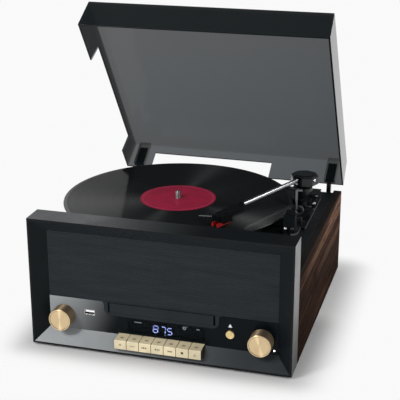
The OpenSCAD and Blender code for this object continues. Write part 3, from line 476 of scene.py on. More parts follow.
def walnut_finish(name, seed):
    """Dark walnut foil: long grain from front to back, with painted light that makes it paler towards the upper
    rear.
    """
    f = Finish(name, (0.06, 0.03, 0.02), 0.5, Specular_IOR_Level=0.001)
    bands = f.noise(34, f.place((1.0, 0.045, 1.0), (seed, 0, seed)), detail=5, rough=0.6, twist=0.7)
    fibre = f.noise(300, f.place((1.0, 0.016, 1.0)), detail=4, rough=0.7)
    pores = f.noise(1300, f.place((1.0, 0.03, 1.0)), detail=2)
    base = f.ramp(bands, (0.36, (0.0080, 0.0034, 0.0021)), (0.47, (0.029, 0.0148, 0.0092)),
                  (0.53, (0.0140, 0.0066, 0.0042)), (0.64, (0.074, 0.0425, 0.0290)))
    streaks = f.ramp(fibre, (0.36, (0.5, 0.48, 0.46)), (0.64, (1.5, 1.47, 1.44)))
    holes = f.ramp(pores, (0.36, (0.4, 0.36, 0.33)), (0.46, (1, 1, 1)))
    grained = f.blend(1.0, f.blend(1.0, base, streaks, "MULTIPLY"), holes, "MULTIPLY")
    # painted light and shade: the grain is made paler towards the upper rear and darker towards the front and
    # bottom
    board_height, board_length = 0.119, 0.3
    spot = f.spot()
    upward = f.math("POWER", f.math("DIVIDE", spot["Z"], board_height), 2.0)
    rearward = f.math("DIVIDE", spot["Y"], board_length)
    paler = f.math("MULTIPLY", rearward, f.math("ADD", f.math("MULTIPLY", upward, 1.9), 0.45))
    f.wire(f.vector("SCALE", grained, Scale=f.math("ADD", paler, 0.62)), "Base Color")
    f.wire(f.remap(fibre, 0.3, 0.7, 0.42, 0.56), "Roughness")
    f.bump(f.math("ADD", f.math("MULTIPLY", fibre, 0.5), pores), 0.00006)
    return f.material


def woven_finish(name, pitch, rib):
    """Speaker cloth: threads across and up, one over the other, with ribs and slight slubs."""
    f = Finish(name, (0.02, 0.023, 0.026), 0.8, IOR=1.2, Sheen_Weight=0.06, Sheen_Roughness=0.5)

    def waves(direction, length, waver, fineness):
        return f.node("ShaderNodeTexWave", {"bands_direction": direction}, Vector=f.place(),
                      Scale=2 * math.pi / (length * 20), Distortion=waver, Detail=1,
                      Detail_Scale=fineness).outputs["Fac"]
    knots = f.math("MULTIPLY", waves("X", pitch, 0.25, 0.4), waves("Z", pitch, 0.25, 0.4))
    ribs = waves("Z", rib, 0.5, 0.2)
    slubs = f.noise(130, f.place((0.12, 1, 1)))
    tone = f.ramp(slubs, (0.3, (0.0140, 0.0168, 0.0195)), (0.7, (0.0200, 0.0238, 0.0270)))
    shade = f.ramp(ribs, (0.1, (0.74, 0.74, 0.74)), (0.7, (1.12, 1.12, 1.12)))
    threads = f.ramp(knots, (0.0, (0.55, 0.55, 0.55)), (0.5, (1.12, 1.12, 1.12)))
    f.wire(f.blend(1.0, f.blend(1.0, tone, shade, "MULTIPLY"), threads, "MULTIPLY"), "Base Color")
    f.bump(f.math("ADD", knots, ribs), 0.00012, 0.6)
    return f.material


def smoked_finish(name, alpha, ior=1.2, tint=(0.0045, 0.0070, 0.0080), shaded_alpha=None):
    """Smoked clear plastic: what lies behind shows through darkened, with a polished face."""
    f = Finish(name, tint, 0.05, IOR=ior, Alpha=alpha)
    if shaded_alpha:
        # painted shade: the sheet is made less clear, so darker, towards its lower right corner
        spot = f.spot()
        down = f.math("SUBTRACT", f.math("MULTIPLY", spot["X"], 0.6), spot["Z"])
        f.wire(f.remap(down, -0.42, -0.06, alpha, shaded_alpha), "Alpha")
    f.wire(f.ramp(f.noise(1900, detail=1), (0.66, tint), (0.8, toned(tint, 1, 0.02))), "Base Color")
    f.wire(f.remap(f.noise(160), 0.3, 0.75, 0.03, 0.09), "Roughness")
    return f.material


def glazed(name, colour, rough, alpha):
    """Dark clear plastic in front of the display."""
    f = Finish(name, colour, rough, IOR=1.18, Alpha=alpha)
    f.wire(f.remap(f.noise(60), 0.3, 0.7, rough * 0.7, rough * 1.6), "Roughness")
    return f.material


def board_finish(name, colour, line):
    """Circuit board: lacquer over copper lines and pads."""
    f = Finish(name, colour, 0.35, IOR=1.45)
    cells = f.node("ShaderNodeTexVoronoi", {"distance": "MANHATTAN", "feature": "DISTANCE_TO_EDGE"},
                   Vector=f.place(), Scale=210).outputs["Distance"]
    f.wire(f.ramp(cells, (0.04, line), (0.09, colour)), "Base Color")
    f.bump(cells, 0.00004)
    return f.material


def glow(name, colour, strength):
    """A lit segment whose brightness varies slightly from place to place."""
    f = Finish(name, colour, 0.4, Emission_Color=(*colour, 1))
    f.wire(f.remap(f.noise(700, detail=2), 0.3, 0.7, strength * 0.9, strength * 1.1),
           "Emission Strength")
    return f.material


def printed(name, colour):
    """Screen printing: matt ink with slightly uneven coverage."""
    f = Finish(name, colour, 0.5)
    f.wire(f.ramp(f.noise(1800, detail=2), (0.25, toned(colour, 0.8)), (0.5, colour)), "Base Color")
    return f.material


def vinyl_finish(name, centre, lead_in_r):
    """Pressed record: fine rings that fan the light out, under a faint polish."""
    f = Finish(name, (0.001, 0.0018, 0.0024), 0.62, IOR=1.27, Anisotropic=1.0, Coat_Weight=0.4,
               Coat_Roughness=0.1, Coat_IOR=1.19)
    radius = f.radius(centre)
    rings = f.lines(radius, 900, 4, 0.75)
    # the lead-in at the edge has no close grooves, so it shines more
    lead_in = f.remap(radius, lead_in_r, lead_in_r + 0.0004, 0.0, 0.3)
    f.wire(f.math("SUBTRACT", f.remap(f.lines(radius, 90, 2), 0.3, 0.7, 0.56, 0.68), lead_in), "Roughness")
    f.wire(f.ramp(rings, (0.3, (0.0008, 0.0012, 0.0016)), (0.7, (0.0016, 0.0022, 0.003))), "Base Color")
    f.bump(rings, 0.000006, 0.6)
    f.outward_tangent(centre, "z")
    return f.material


def label_finish(name, centre, paper, ink, ring_at, band):
    """Printed paper label: fibres in the paper, uneven ink and a plain printed ring."""
    f = Finish(name, paper, 0.6, IOR=1.2, Coat_Weight=0.4, Coat_Roughness=0.05, Coat_IOR=1.5)
    worn = f.remap(f.noise(60, detail=4), 0.3, 0.7, 0.0, 1.0)
    base = f.blend(worn, toned(paper, 0.85), toned(paper, 1.12))
    off = f.math("ABSOLUTE", f.math("SUBTRACT", f.radius(centre), ring_at))
    f.wire(f.blend(f.math("LESS_THAN", off, band), base, ink), "Base Color")
    f.bump(f.noise(900, detail=5, rough=0.7), 0.00002)
    return f.material


# Places that pieces and finishes share

spin = at(-34.3, 195.1, 0)
knob_left = at(-123.4, 0, 39.6)
knob_right = at(123.4, 0, 39.6)
eject_at = at(85.3, 0, 41.9)
pivot = at(116.995, 277, 0)
arm_turn = math.radians(-112.95)

gloss_black = lacquer("bezel gloss black", (0.0012, 0.0022, 0.003), 0.17, IOR=1.28)
# painted highlight: the bezel's top is paler towards its left end
bezel_top_black = lacquer("bezel top black", (0.0008, 0.0020, 0.0030), 0.34,
                          ((0.046, 0.050, 0.053), -0.070, 0.062, 0.0), IOR=1.21)
# painted light and painted highlight: a lighter copy of the bezel's black for the lower slope, paler still at its
# left end
bezel_slope_black = lacquer("bezel lower slope", (0.019, 0.0225, 0.025), 0.2,
                            ((0.190, 0.202, 0.209), -0.165, 0.112, 0.0), IOR=1.15)
# painted light: lighter copies of the bezel's black for the upper slope and the inner sides
bezel_front_black = lacquer("bezel upper slope", (0.0115, 0.0146, 0.0170), 0.2, IOR=1.25)
bezel_side_black = lacquer("bezel inner sides", (0.0048, 0.0064, 0.0076), 0.4, IOR=1.17)
# painted highlight: the control panel's black is paler towards its upper left end, where the lamp's glow falls
panel_black = lacquer("control panel black", (0.0012, 0.0026, 0.0036), 0.26,
                      ((0.235, 0.246, 0.253), -0.142, -0.044, 0.4), IOR=1.18)
frame_black = moulded("grille frame black", (0.0115, 0.0148, 0.0175), 0.45, relief=0.000015, IOR=1.2)
tray_end_shade = moulded("black of the slot", (0.0012, 0.0022, 0.003), 0.6, IOR=1.1)
plate_black = lacquer("tonearm plate black", (0.002, 0.003, 0.004), 0.12, IOR=1.35)
satin_black = moulded("satin black plastic", (0.0055, 0.0075, 0.009), 0.42, IOR=1.33)
deck_black = moulded("deck black", (0.0035, 0.0052, 0.0066), 0.36, relief=0.00003, IOR=1.25)
board_black = moulded("pressed board", (0.03, 0.028, 0.027), 0.75, grain=500, relief=0.00008)
arm_black = lacquer("tonearm black", (0.0035, 0.0045, 0.005), 0.2, IOR=1.42)
head_black = moulded("headshell black", (0.0030, 0.0040, 0.0045), 0.5, IOR=1.13)
plate_edge_highlight = moulded("plate edge", (0.075, 0.079, 0.082), 0.4, IOR=1.4)
lift_grey = moulded("finger lift grey", (0.125, 0.130, 0.132), 0.4, IOR=1.35)
clip_black = moulded("arm clip black", (0.011, 0.012, 0.013), 0.4, IOR=1.3)
rest_black = moulded("arm rest black", (0.0050, 0.0068, 0.0080), 0.5, IOR=1.15)
hinge_black = lacquer("hinge black", (0.0035, 0.0045, 0.005), 0.14, IOR=1.5)
walnut_top = moulded("stained board edge", (0.0085, 0.0068, 0.0058), 0.5, grain=500, IOR=1.15)
walnut_left = walnut_finish("walnut left", 0.31)
walnut_right = walnut_finish("walnut right", 0.87)
speaker_cloth = woven_finish("speaker cloth", 0.0013, 0.0024)
# the inner faces take painted shade towards the lower right
smoked_inside = smoked_finish("smoked inner faces", 0.22, 1.06, (0.004, 0.028, 0.048), 0.50)
smoked_top = smoked_finish("smoked top", 0.855)
smoked_rear = smoked_finish("smoked rear wall", 0.81)
smoked_front = smoked_finish("smoked front wall", 0.93)
smoked_side = smoked_finish("smoked side walls", 0.93, 1.42)
smoked_side_inner = smoked_finish("smoked side walls inside", 0.62, 1.1, (0.004, 0.010, 0.016))
smoked_edge = smoked_finish("smoked free edges", 0.95)
smoked_pocket = smoked_finish("smoked hinge pockets", 0.72, 1.45)
line_white = moulded("white socket ring", (0.55, 0.55, 0.53), 0.4, grain=500)
line_red = moulded("red socket ring", (0.36, 0.02, 0.02), 0.4, grain=500)
rubber_black = moulded("black rubber", (0.012, 0.012, 0.012), 0.8, grain=700, relief=0.00005)
chrome = brushed("polished chrome", (0.82, 0.83, 0.85), 0.08, relief=0.000002)
tube_alloy = brushed("tonearm tube alloy", (0.29, 0.30, 0.31), 0.3, relief=0.000003)
dark_nickel = brushed("black nickel", (0.14, 0.145, 0.15), 0.22, relief=0.000003)
steel = brushed("brushed steel", (0.56, 0.57, 0.58), 0.28, along=(0.05, 1, 1))
zinc = brushed("zinc plated steel", (0.5, 0.51, 0.53), 0.4, along=(1, 0.2, 1))
port_steel = brushed("port steel", (0.62, 0.61, 0.6), 0.3, along=(0.08, 1, 1))
brass = brushed("turned brass", (0.72, 0.55, 0.26), 0.25)
key_cream = moulded("cream keys", (0.525, 0.452, 0.298), 0.34, grain=600, relief=0.000012, spread=0.05)
# painted shade for the sides of the keys
painted_key_side_shade = moulded("key sides", (0.035, 0.026, 0.016), 0.5, grain=600, relief=0.000012)
green_board = board_finish("green circuit board", (0.015, 0.09, 0.035), (0.06, 0.2, 0.08))
cone_paper = moulded("speaker cone paper", (0.02, 0.02, 0.02), 0.8, grain=400, relief=0.0001)
stylus_red = moulded("red stylus plastic", (0.30, 0.010, 0.010), 0.35, grain=500, spread=0.04, IOR=1.3)
screen_black = lacquer("display face", (0.002, 0.002, 0.003), 0.1, IOR=1.3)
digit_light = glow("display digits", (0.42, 0.51, 1.0), 7.0)
digit_haze = glow("haze round the digits", (0.045, 0.06, 1.0), 1.4)
mark_light = glow("display marks", (0.62, 0.66, 0.68), 1.3)
led_light = glow("status light", (1.0, 1.0, 1.0), 3.0)
white_ink = printed("white print", (0.62, 0.65, 0.66))
brown_ink = printed("brown print", (0.055, 0.040, 0.024))
pale_ink = printed("pale brown print", (0.24, 0.19, 0.115))
port_white = printed("port tongue", (0.85, 0.86, 0.88))

vinyl = vinyl_finish("pressed vinyl", spin, 0.1462)
label_paper = label_finish("label paper", spin, (0.275, 0.0045, 0.034), (0.40, 0.05, 0.11),
                           0.0465, 0.0003)
mat_rubber = moulded("ribbed mat rubber", (0.014, 0.014, 0.015), 0.7, relief=0.00004)
platter_metal = spun("cast platter", (0.58, 0.60, 0.62), 0.42, spin, "z")
face_left = spun("spun champagne left", (0.78, 0.595, 0.355), 0.38, knob_left, "y")
face_right = spun("spun champagne right", (0.78, 0.595, 0.355), 0.38, knob_right, "y")
eject_gold = spun("spun champagne button", (0.83, 0.64, 0.31), 0.3, eject_at, "y")
# painted shade: the rims take the faces' champagne darkened to about a third, standing in for the dark
# surroundings they reflect
side_left = turned_side("turned champagne left", (0.24, 0.18, 0.115), 0.5, knob_left)
side_right = turned_side("turned champagne right", (0.24, 0.18, 0.115), 0.5, knob_right)
spindle_steel = turned_side("turned spindle steel", (0.34, 0.34, 0.335), 0.42, spin, "Z")
window_glass = glazed("display window", (0.0012, 0.0026, 0.0036), 0.2, 0.7)


# Cabinet

for node, grain in (("side_board_left", walnut_left), ("side_board_right", walnut_right)):
    board = dressed(node, grain, 0.8, 4)
    # the top faces of the boards are darker
    paint(board, walnut_top, lambda c, n: n.z > 0.6)
dressed("top_deck", deck_black, 0.5)
dressed("bottom_panel", board_black, 0.3, 1)
dressed("rear_panel", board_black, 0.25, 1, flat_faces=False)
dressed("baffle_board", board_black, 0.3, 1)

# the bezel: its outer walls, the depth of its recess and the slopes below and above the opening
wall_x, recess_y, lower_slope_z, upper_slope_z = 160, 16, 24, 140
rim = dressed("bezel", gloss_black, 0.45, 3)
# painted light: the inner sides and both slopes take lighter copies of the bezel's black, and the top and the
# lower slope a painted highlight at the left end
paint(rim, bezel_side_black, lambda c, n: abs(n.x) > 0.3 and abs(mm(c).x) < wall_x and mm(c).y < recess_y)
paint(rim, bezel_slope_black, lambda c, n: n.z > 0.3 and n.y < -0.3 and mm(c).z < lower_slope_z)
paint(rim, bezel_front_black, lambda c, n: n.z < -0.3 and n.y < -0.3 and mm(c).z > upper_slope_z)
paint(rim, bezel_top_black, lambda c, n: n.z > 0.5 and mm(c).z > upper_slope_z)


def corner_fillets(x, z):
    """Rounds the short edges of a panel beside the disc surround, at x on both sides and height z in mm."""
    def beside_surround(c, d):
        p = mm(c)
        return abs(abs(p.x) - x) < 0.25 and abs(p.z - z) < 0.25 and abs(d.y) > 0.001 and p.y < 18
    return lambda piece: chamfer(piece, 0.0045, 4, beside_surround)


dressed("grille_frame", frame_black, 0.3, shaping=corner_fillets(71.5, 63.6))
dressed("control_panel", panel_black, 0.25, shaping=corner_fillets(71.8, 63.2))
dressed("display_window", window_glass, 0.08, 1)
dressed("display_module", screen_black, 0.2)

dressed("rear_sockets", satin_black, 0.2)
jack_z = 34
jack_ring = [(4.15, 335.0), (6.0, 335.0), (6.2, 335.4), (5.9, 335.9), (4.6, 336.1), (4.15, 336.0)]
for name, x, finish in (("line_ring_left", 52, line_white), ("line_ring_right", 70, line_red)):
    with_node(turned(name, at(x, 0, jack_z), "y", jack_ring, finish, 48, 40), "rear_sockets")
dressed("hinge_brackets", satin_black, 0.4)
dressed("hinge_leaves", hinge_black, 0.4)
dressed("feet", rubber_black, 0.6)
dressed("screws", steel, 0.2)
for node in ("main_board", "control_board"):
    dressed(node, green_board, 0.2, 1)
dressed("cd_mechanism", zinc, 0.4)
dressed("platter_motor", zinc, 0.6)
dressed("bearing_housing", zinc, 0.3)
dressed("motor_pulley", brass, 0.2)
plain("drive_belt", rubber_black)
for node in ("speaker_frame_left", "speaker_frame_right"):
    dressed(node, zinc, 0.3, 1)
for node in ("speaker_cone_left", "speaker_cone_right"):
    plain(node, cone_paper)

tray_front, tray_side, bare_side = 12.2, 66, 64.4


def cut_back_ends(piece):
    """The front of the tray is cut back at both ends, where a finger finds it."""
    chamfer(piece, 0.0019, 2,
            lambda c, d: mm(c).y < tray_front and abs(mm(c).x) > tray_side and abs(d.z) > 0.005)


tray = dressed("cd_tray", frame_black, 0.25, shaping=cut_back_ends)
# painted shade: the cut-back ends of the tray are painted near black
paint(tray, tray_end_shade, lambda c, n: mm(c).y < recess_y and abs(mm(c).x) > bare_side)
dressed("status_led", led_light, 0.2)

port_x, port_half = -90.7, 5.7


def bring_tongue_forward(piece):
    """The tongue of the memory stick socket is thicker and reaches nearly to the mouth."""
    def tongue(c):
        p = mm(c)
        return 13.5 < p.y < 24 and abs(p.x - port_x) < port_half and 46 < p.z < 49.2
    push(piece, "FACE", lambda c, n: tongue(c) and n.y < -0.9 and mm(c).y < 20, (0, -0.0036, 0))
    push(piece, "FACE", lambda c, n: tongue(c) and n.z > 0.9, (0, 0, 0.0009))


port = dressed("usb_socket", port_steel, 0.12, shaping=bring_tongue_forward)
paint(port, port_white, lambda c, n: 13 < mm(c).y < 23 and abs(mm(c).x - port_x) < port_half and
      46.2 < mm(c).z < 49.8)

cloth = slab("grille_weave", *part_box("grille_cloth"), speaker_cloth)
choose(cloth, "FACE", lambda c, n: n.y < -0.5)
ops.mesh.inset(thickness=0.0006, depth=0)
ops.mesh.subdivide(number_cuts=2)
leave()
soften(cloth, 0.0002, 1)
stands_for(cloth, "grille_cloth")


# Turntable

dressed("platter", platter_metal, 0.6)
dressed("slip_mat", mat_rubber, 0.4)

# the record is thinner in its grooves than at its edge and its label, with a land between two tracks
groove_z, land_z, thick_z = 137.05, 137.065, 137.2
record_cut = [(145.0, 135.25), (149.8, 135.2), (150.6, 135.7), (150.72, 136.2), (150.5, 136.9),
              (149.8, thick_z), (148.4, thick_z), (147.4, 137.1), (146.6, groove_z)]
for land in (128.5, 109.0, 90.5, 74.0):
    record_cut += [(land + 0.6, groove_z), (land + 0.4, land_z), (land - 0.4, land_z),
                   (land - 0.6, groove_z)]
record_cut += [(60.0, groove_z), (59.6, 137.08), (58.8, 137.08), (53.0, 137.1), (51.5, thick_z),
               (50.2, thick_z)]
stands_for(turned("long_playing_record", spin, "z", record_cut, vinyl, 256, 20), "record")

label_z = 137.35
label_cut = [(50.0, 137.1), (50.0, 137.3), (49.8, label_z), (36.6, label_z), (36.0, 137.27),
             (35.2, label_z), (4.4, label_z), (4.0, 137.25)]
stands_for(turned("centre_label", spin, "z", label_cut, label_paper, 192, 20), "record_label")

pin_cut = [(3.5, 94.4), (3.5, 144.4), (3.4, 145.4), (2.9, 146.6), (2.0, 147.4), (0.9, 147.7)]
stands_for(turned("centre_spindle", spin, "z", pin_cut, spindle_steel, 64, 60), "spindle")


# Tonearm

arm_way = Vector((math.cos(arm_turn), math.sin(arm_turn), 0))
arm_across = Vector((-math.sin(arm_turn), math.cos(arm_turn), 0))


def on_arm(along, across, height):
    """A place given along the tonearm from its pivot, across it and above the floor, in mm."""
    return pivot + (arm_way * along + arm_across * across + Vector((0, 0, height))) * MM


def arm_mm(c):
    """The same three numbers for a place in the scene."""
    d = (c - pivot) / MM
    return d.dot(arm_way), d.dot(arm_across), d.z


plate = dressed("arm_plate", plate_black, 0.7, 3)
# painted highlight: the plate's right edge and the edges round two slots are paler
paint(plate, plate_edge_highlight, lambda c, n: n.x > 0.25 and mm(c).x > 116 and mm(c).z < 122)
for x, y, reach in ((129.5, 195, 14), (126.5, 252, 9)):
    paint(plate, plate_edge_highlight, lambda c, n: abs(n.y) > 0.6 and near(c, x, y, reach))
dressed("arm_base", arm_black, 0.4)

# the cap of the housing, in mm: its middle along the arm, how far it is brought forward, its skirt,
# and how deep its top falls off at the rim
cap_middle, cap_forward, cap_core, cap_top = -8.0, 4.2, 13, 157.5
skirt_drop, facet_inset, facet_drop = 2.8, 5.2, 2.6


def facet_top(piece):
    """The cap sits further forward and lower over the pivot, and its top edge falls off in facets."""
    middle = on_arm(cap_middle, 0, 0)

    def outside(c, reach):
        return (c - middle).xy.length > reach * MM
    push(piece, "VERT", lambda c, n: outside(c, cap_core) and 147.2 < mm(c).z < 149.0,
         (0, 0, -skirt_drop * MM))
    push(piece, "VERT", lambda c, n: outside(c, cap_core) and mm(c).z > 144.2, arm_way * cap_forward * MM)
    choose(piece, "FACE", lambda c, n: n.z > 0.9 and mm(c).z > cap_top)
    ops.mesh.inset(thickness=facet_inset * MM, depth=0)
    leave()
    middle = on_arm(cap_middle + cap_forward, 0, 0)
    push(piece, "VERT", lambda c, n: mm(c).z > cap_top and outside(c, 16), (0, 0, -facet_drop * MM))


dressed("arm_housing", arm_black, 0.5, 2, degrees=12, shaping=facet_top)
dressed("arm_tube", tube_alloy, 0.3)

# the headshell, in mm along the arm: its collar and the middle of its finger lift
collar_end, collar_cut, lift_at, lift_root = 133, 4.5, 183, -9.6


def bend_lift(piece):
    """A short collar, and a finger lift wider than its root that hangs below the headshell's top."""
    push(piece, "VERT", lambda c, n: arm_mm(c)[0] < collar_end, arm_way * collar_cut * MM)

    def whole_lift(c):
        along, across, high = arm_mm(c)
        return across < -7.3 and abs(along - lift_at) < 2.5 and high > 151.8
    push(piece, "VERT", lambda c, n: whole_lift(c), (0, 0, -0.0038))
    push(piece, "VERT", lambda c, n: arm_mm(c)[1] < lift_root and arm_mm(c)[0] < lift_at, arm_way * -0.0035)
    push(piece, "VERT", lambda c, n: arm_mm(c)[1] < lift_root and arm_mm(c)[0] > lift_at, arm_way * 0.0030)
    push(piece, "VERT", lambda c, n: arm_mm(c)[1] < lift_root, (0, 0, -0.0030))


shell = dressed("headshell", head_black, 0.5, 3, shaping=bend_lift)
paint(shell, lift_grey, lambda c, n: arm_mm(c)[1] < lift_root)
dressed("cartridge", head_black, 0.4)
dressed("stylus", stylus_red, 0.2)

bar_end, post_x, post_y = 257, 120.0, 240.6


def end_the_bar(piece):
    """The curved bar reaches no further than the arm swings."""
    edit(piece)
    ops.mesh.select_all(action="SELECT")
    ops.mesh.bisect(plane_co=at(0, bar_end, 0), plane_no=(0, 1, 0), use_fill=True, clear_outer=True)
    leave()


lift = dressed("cue_platform", satin_black, 0.3, shaping=end_the_bar)
paint(lift, lift_grey, lambda c, n: near(c, post_x, post_y, 6) and mm(c).z < 148)
handle = dressed("cue_lever", dark_nickel, 0.3)
paint(handle, tube_alloy, lambda c, n: mm(c).y < 260)
rest = dressed("arm_rest", rest_black, 0.5)
paint(rest, chrome, lambda c, n: mm(c).y < 150.4 and mm(c).z < 130)
dressed("arm_clip", clip_black, 0.3)

# the ball end of a screw, seen from the front under the arm rest
ball_z = 127.4
ball = [(1.3, 150.4), (1.5, 150.0), (2.05, 149.6), (2.45, 148.9), (2.6, 148.0), (2.45, 147.1),
        (2.0, 146.3), (1.2, 145.7), (0.4, 145.5)]
for name, x, finish in (("rest_ball", 119.9, chrome), ("rest_screw", 128.4, satin_black)):
    with_node(turned(name, at(x, 0, ball_z), "y", ball, finish, 40, 60), "arm_rest")


def pivot_screw(name, axis, place, radius, finish):
    """Domed screw head whose axis is turned with the arm."""
    out = -1 if axis == "x" else 1
    dome = [(1, 0.6), (1, -0.4), (0.86, -0.85), (0.55, -1.15), (0.2, -1.25)]
    piece = turned(name, (0, 0, 0), axis, [(radius * r, s * out) for r, s in dome], finish, 40, 60)
    piece.rotation_euler = (0, 0, arm_turn + math.pi / 2)
    piece.location = place
    settle(piece)
    with_node(piece, "arm_housing")


pivot_screw("pivot_screw_front", "y", on_arm(13.9, -1.6, 146.8), 2.1, chrome)
pivot_screw("pivot_ring_front", "y", on_arm(13.2, -1.6, 146.8), 3.1, clip_black)
pivot_screw("pivot_screw_side", "x", on_arm(-1.0, 17.6, 152.0), 2.2, chrome)
dressed("speed_selector", satin_black, 0.4)
dressed("auto_stop_switch", satin_black, 0.4)


# Lid

lid_hinge = joint_at["lid_turn"]
shut = Matrix.Rotation(math.radians(55), 3, "X")


def in_lid(test):
    """Tests a face of the open lid at the place where it lies when the lid is shut."""
    def tested(c, n):
        p = (shut @ (c - lid_hinge) + lid_hinge - start) / MM
        return test(p.x, p.y, p.z, shut @ n)
    return tested


hinge_x, pocket_half = 142, 8.3
lid = dressed("lid", smoked_inside, 0.5, 2)
for finish, test in (
        (smoked_pocket, lambda x, y, z, n: abs(abs(x) - hinge_x) < pocket_half and 325 < y < 331.4 and
         123 < z < 163),
        (smoked_side_inner, lambda x, y, z, n: abs(n.x) > 0.9 and abs(x) > 150),
        (smoked_side, lambda x, y, z, n: n.x * x > 0 and abs(n.x) > 0.3 and abs(x) > 159),
        (smoked_front, lambda x, y, z, n: n.y < -0.3 and y < 41),
        (smoked_rear, lambda x, y, z, n: n.y > 0.3 and y > 333),
        (smoked_top, lambda x, y, z, n: n.z > 0.3 and z > 162),
        (smoked_edge, lambda x, y, z, n: n.z < -0.5 and z < 155)):
    paint(lid, finish, in_lid(test))


# Controls

knob_cut = [(2.9, 27.9), (2.9, 13.4), (12.9, 12.5), (13.7, 12.5), (14.0, 12.4), (14.0, -3.5),
            (13.75, -4.1), (13.2, -4.49), (12.3, -4.49), (11.9, -4.0), (11.5, -3.85), (5.0, -3.95),
            (1.0, -4.0)]
for node, centre, side, face in (("tuning_knob", knob_left, side_left, face_left),
                                 ("volume_knob", knob_right, side_right, face_right)):
    knob = turned(node + "_spun", centre, "y", knob_cut, side, 128, 25)
    paint(knob, face, lambda c, n: n.y < -0.8)
    stands_for(knob, node)

# corners of a printed shape, and how far it is turned
INK_SHAPES = {"right": (3, -90), "left": (3, 90), "up": (3, 0), "bar": (4, 45), "dot": (20, 0)}
ink_depth = 0.00006
key_face, panel_face, screen_face = -4.1, 12.9, 14.46


def ink(name, shape, x, z, wide, high, finish, y=key_face, lean=0.0):
    """Thin print on a front face: a triangle, bar or dot, drawn out to the ink's thickness."""
    corners, turn = INK_SHAPES[shape]
    deselect()
    ops.mesh.primitive_circle_add(vertices=corners, radius=1, fill_type="NGON", location=(0, 0, 0))
    sign = bpy.context.object
    sign.rotation_euler = (0, 0, math.radians(turn))
    settle(sign)
    size = sign.dimensions
    sign.scale = (wide * MM / size.x, high * MM / size.y, 1)
    settle(sign)
    edit(sign)
    ops.mesh.select_all(action="SELECT")
    ops.mesh.extrude_region_move(TRANSFORM_OT_translate={"value": (0, 0, ink_depth)})
    outward_faces()
    heights = [v.co.y for v in sign.data.vertices]
    sign.location = (0, -(min(heights) + max(heights)) / 2, 0)
    settle(sign)
    sign.rotation_euler = (math.radians(90 + lean), 0, 0)
    sign.location = at(x, y, z)
    settle(sign)
    return name_piece(sign, name, finish)


# each key's sign: shape, place across the key, place above its middle, width and height in mm
KEY_SIGNS = [[("dot", 0, 0, 2.6, 2.6)],
             [("bar", 0, 0, 6.6, 0.9)],
             [("bar", -3.2, 0, 0.7, 2.4), ("left", -1.4, 0, 2.4, 2.6), ("left", 1.2, 0, 2.4, 2.6)],
             [("right", -1.6, 0, 2.6, 2.8), ("bar", 1.1, 0, 0.8, 2.6), ("bar", 2.6, 0, 0.8, 2.6)],
             [("right", -1.4, 0, 2.4, 2.6), ("right", 1.0, 0, 2.4, 2.6), ("bar", 2.9, 0, 0.7, 2.4)],
             [("bar", 0, 0, 2.9, 2.9)],
             [("up", 0, 0, 3.0, 2.2), ("bar", 0, -2.0, 3.0, 0.7)]]
key_pitch, key_middle_z, key_top_z = 15.47, 17.6, 23.64
for i, signs in enumerate(KEY_SIGNS, 1):
    node = "key_%d" % i
    # painted shade: the sides of the keys are dark brown, which also darkens the gaps between them
    paint(dressed(node, key_cream, 0.45, 3), painted_key_side_shade, lambda c, n: abs(n.x) > 0.8)
    key_x = (i - 4) * key_pitch
    tone = brown_ink if 3 <= i <= 6 else pale_ink
    prints = [ink("sign", shape, key_x + dx, key_middle_z + dz, wide, high, tone)
              for shape, dx, dz, wide, high in signs]
    # a pale brown spot in the middle of each key top
    prints.append(ink("dimple", "dot", key_x, key_top_z, 4.6, 3.4, pale_ink, y=3.6, lean=-86.5))
    with_node(joined(prints, node + "_print"), node)

eject_cut = [(3.0, 26.1), (3.0, 14.1), (5.0, 14.1), (5.2, 13.9), (5.2, 10.5), (5.0, 10.05), (4.6, 9.9),
             (4.2, 9.9), (3.9, 10.05), (1.0, 10.15)]
stands_for(turned("eject_spun", eject_at, "y", eject_cut, eject_gold, 64, 25), "eject_button")


# Display

def segment(name, x, z, wide, high, finish, y):
    """One bar of a digit: a thin plate with its ends cut to points."""
    level = wide > high
    bar = slab(name, (x - wide / 2, y - 0.0002, z - high / 2), (x + wide / 2, y, z + high / 2), finish)
    for way in (1, -1):
        choose(bar, "FACE", lambda c, n: (n.x if level else n.z) * way > 0.5)
        point = min(wide, high) * 0.45 * way
        ops.mesh.extrude_region_move(TRANSFORM_OT_translate={
            "value": (point, 0, 0) if level else (0, 0, point)})
        ops.transform.resize(value=(1, 1, 0.2) if level else (0.2, 1, 1), center_override=(x, y, z))
    outward_faces()
    return bar


SEGMENTS = {"8": "abcdefg", "7": "abc", "5": "acdfg"}
digit_lean = 0.10


def digit(name, shown, x, z, wide, high, finish, y, stroke):
    """The lit bars of a seven-bar digit; the digit leans slightly."""
    bar, gap = wide * stroke, wide * 0.06
    half_w, half_h = wide / 2, high / 2
    spots = {"a": (0, half_h, 1), "g": (0, 0, 1), "d": (0, -half_h, 1),
             "f": (-half_w, half_h / 2, 0), "b": (half_w, half_h / 2, 0),
             "e": (-half_w, -half_h / 2, 0), "c": (half_w, -half_h / 2, 0)}
    bars = []
    for key in SEGMENTS[shown]:
        dx, dz, level = spots[key]
        size = (wide - 2 * bar - gap, bar) if level else (bar, half_h - 1.6 * bar - gap)
        bars.append(segment("bar", x + dx + dz * digit_lean, z + dz, *size, finish, y))
    return joined(bars, name)


def on_screen(piece):
    with_node(piece, "display_module")


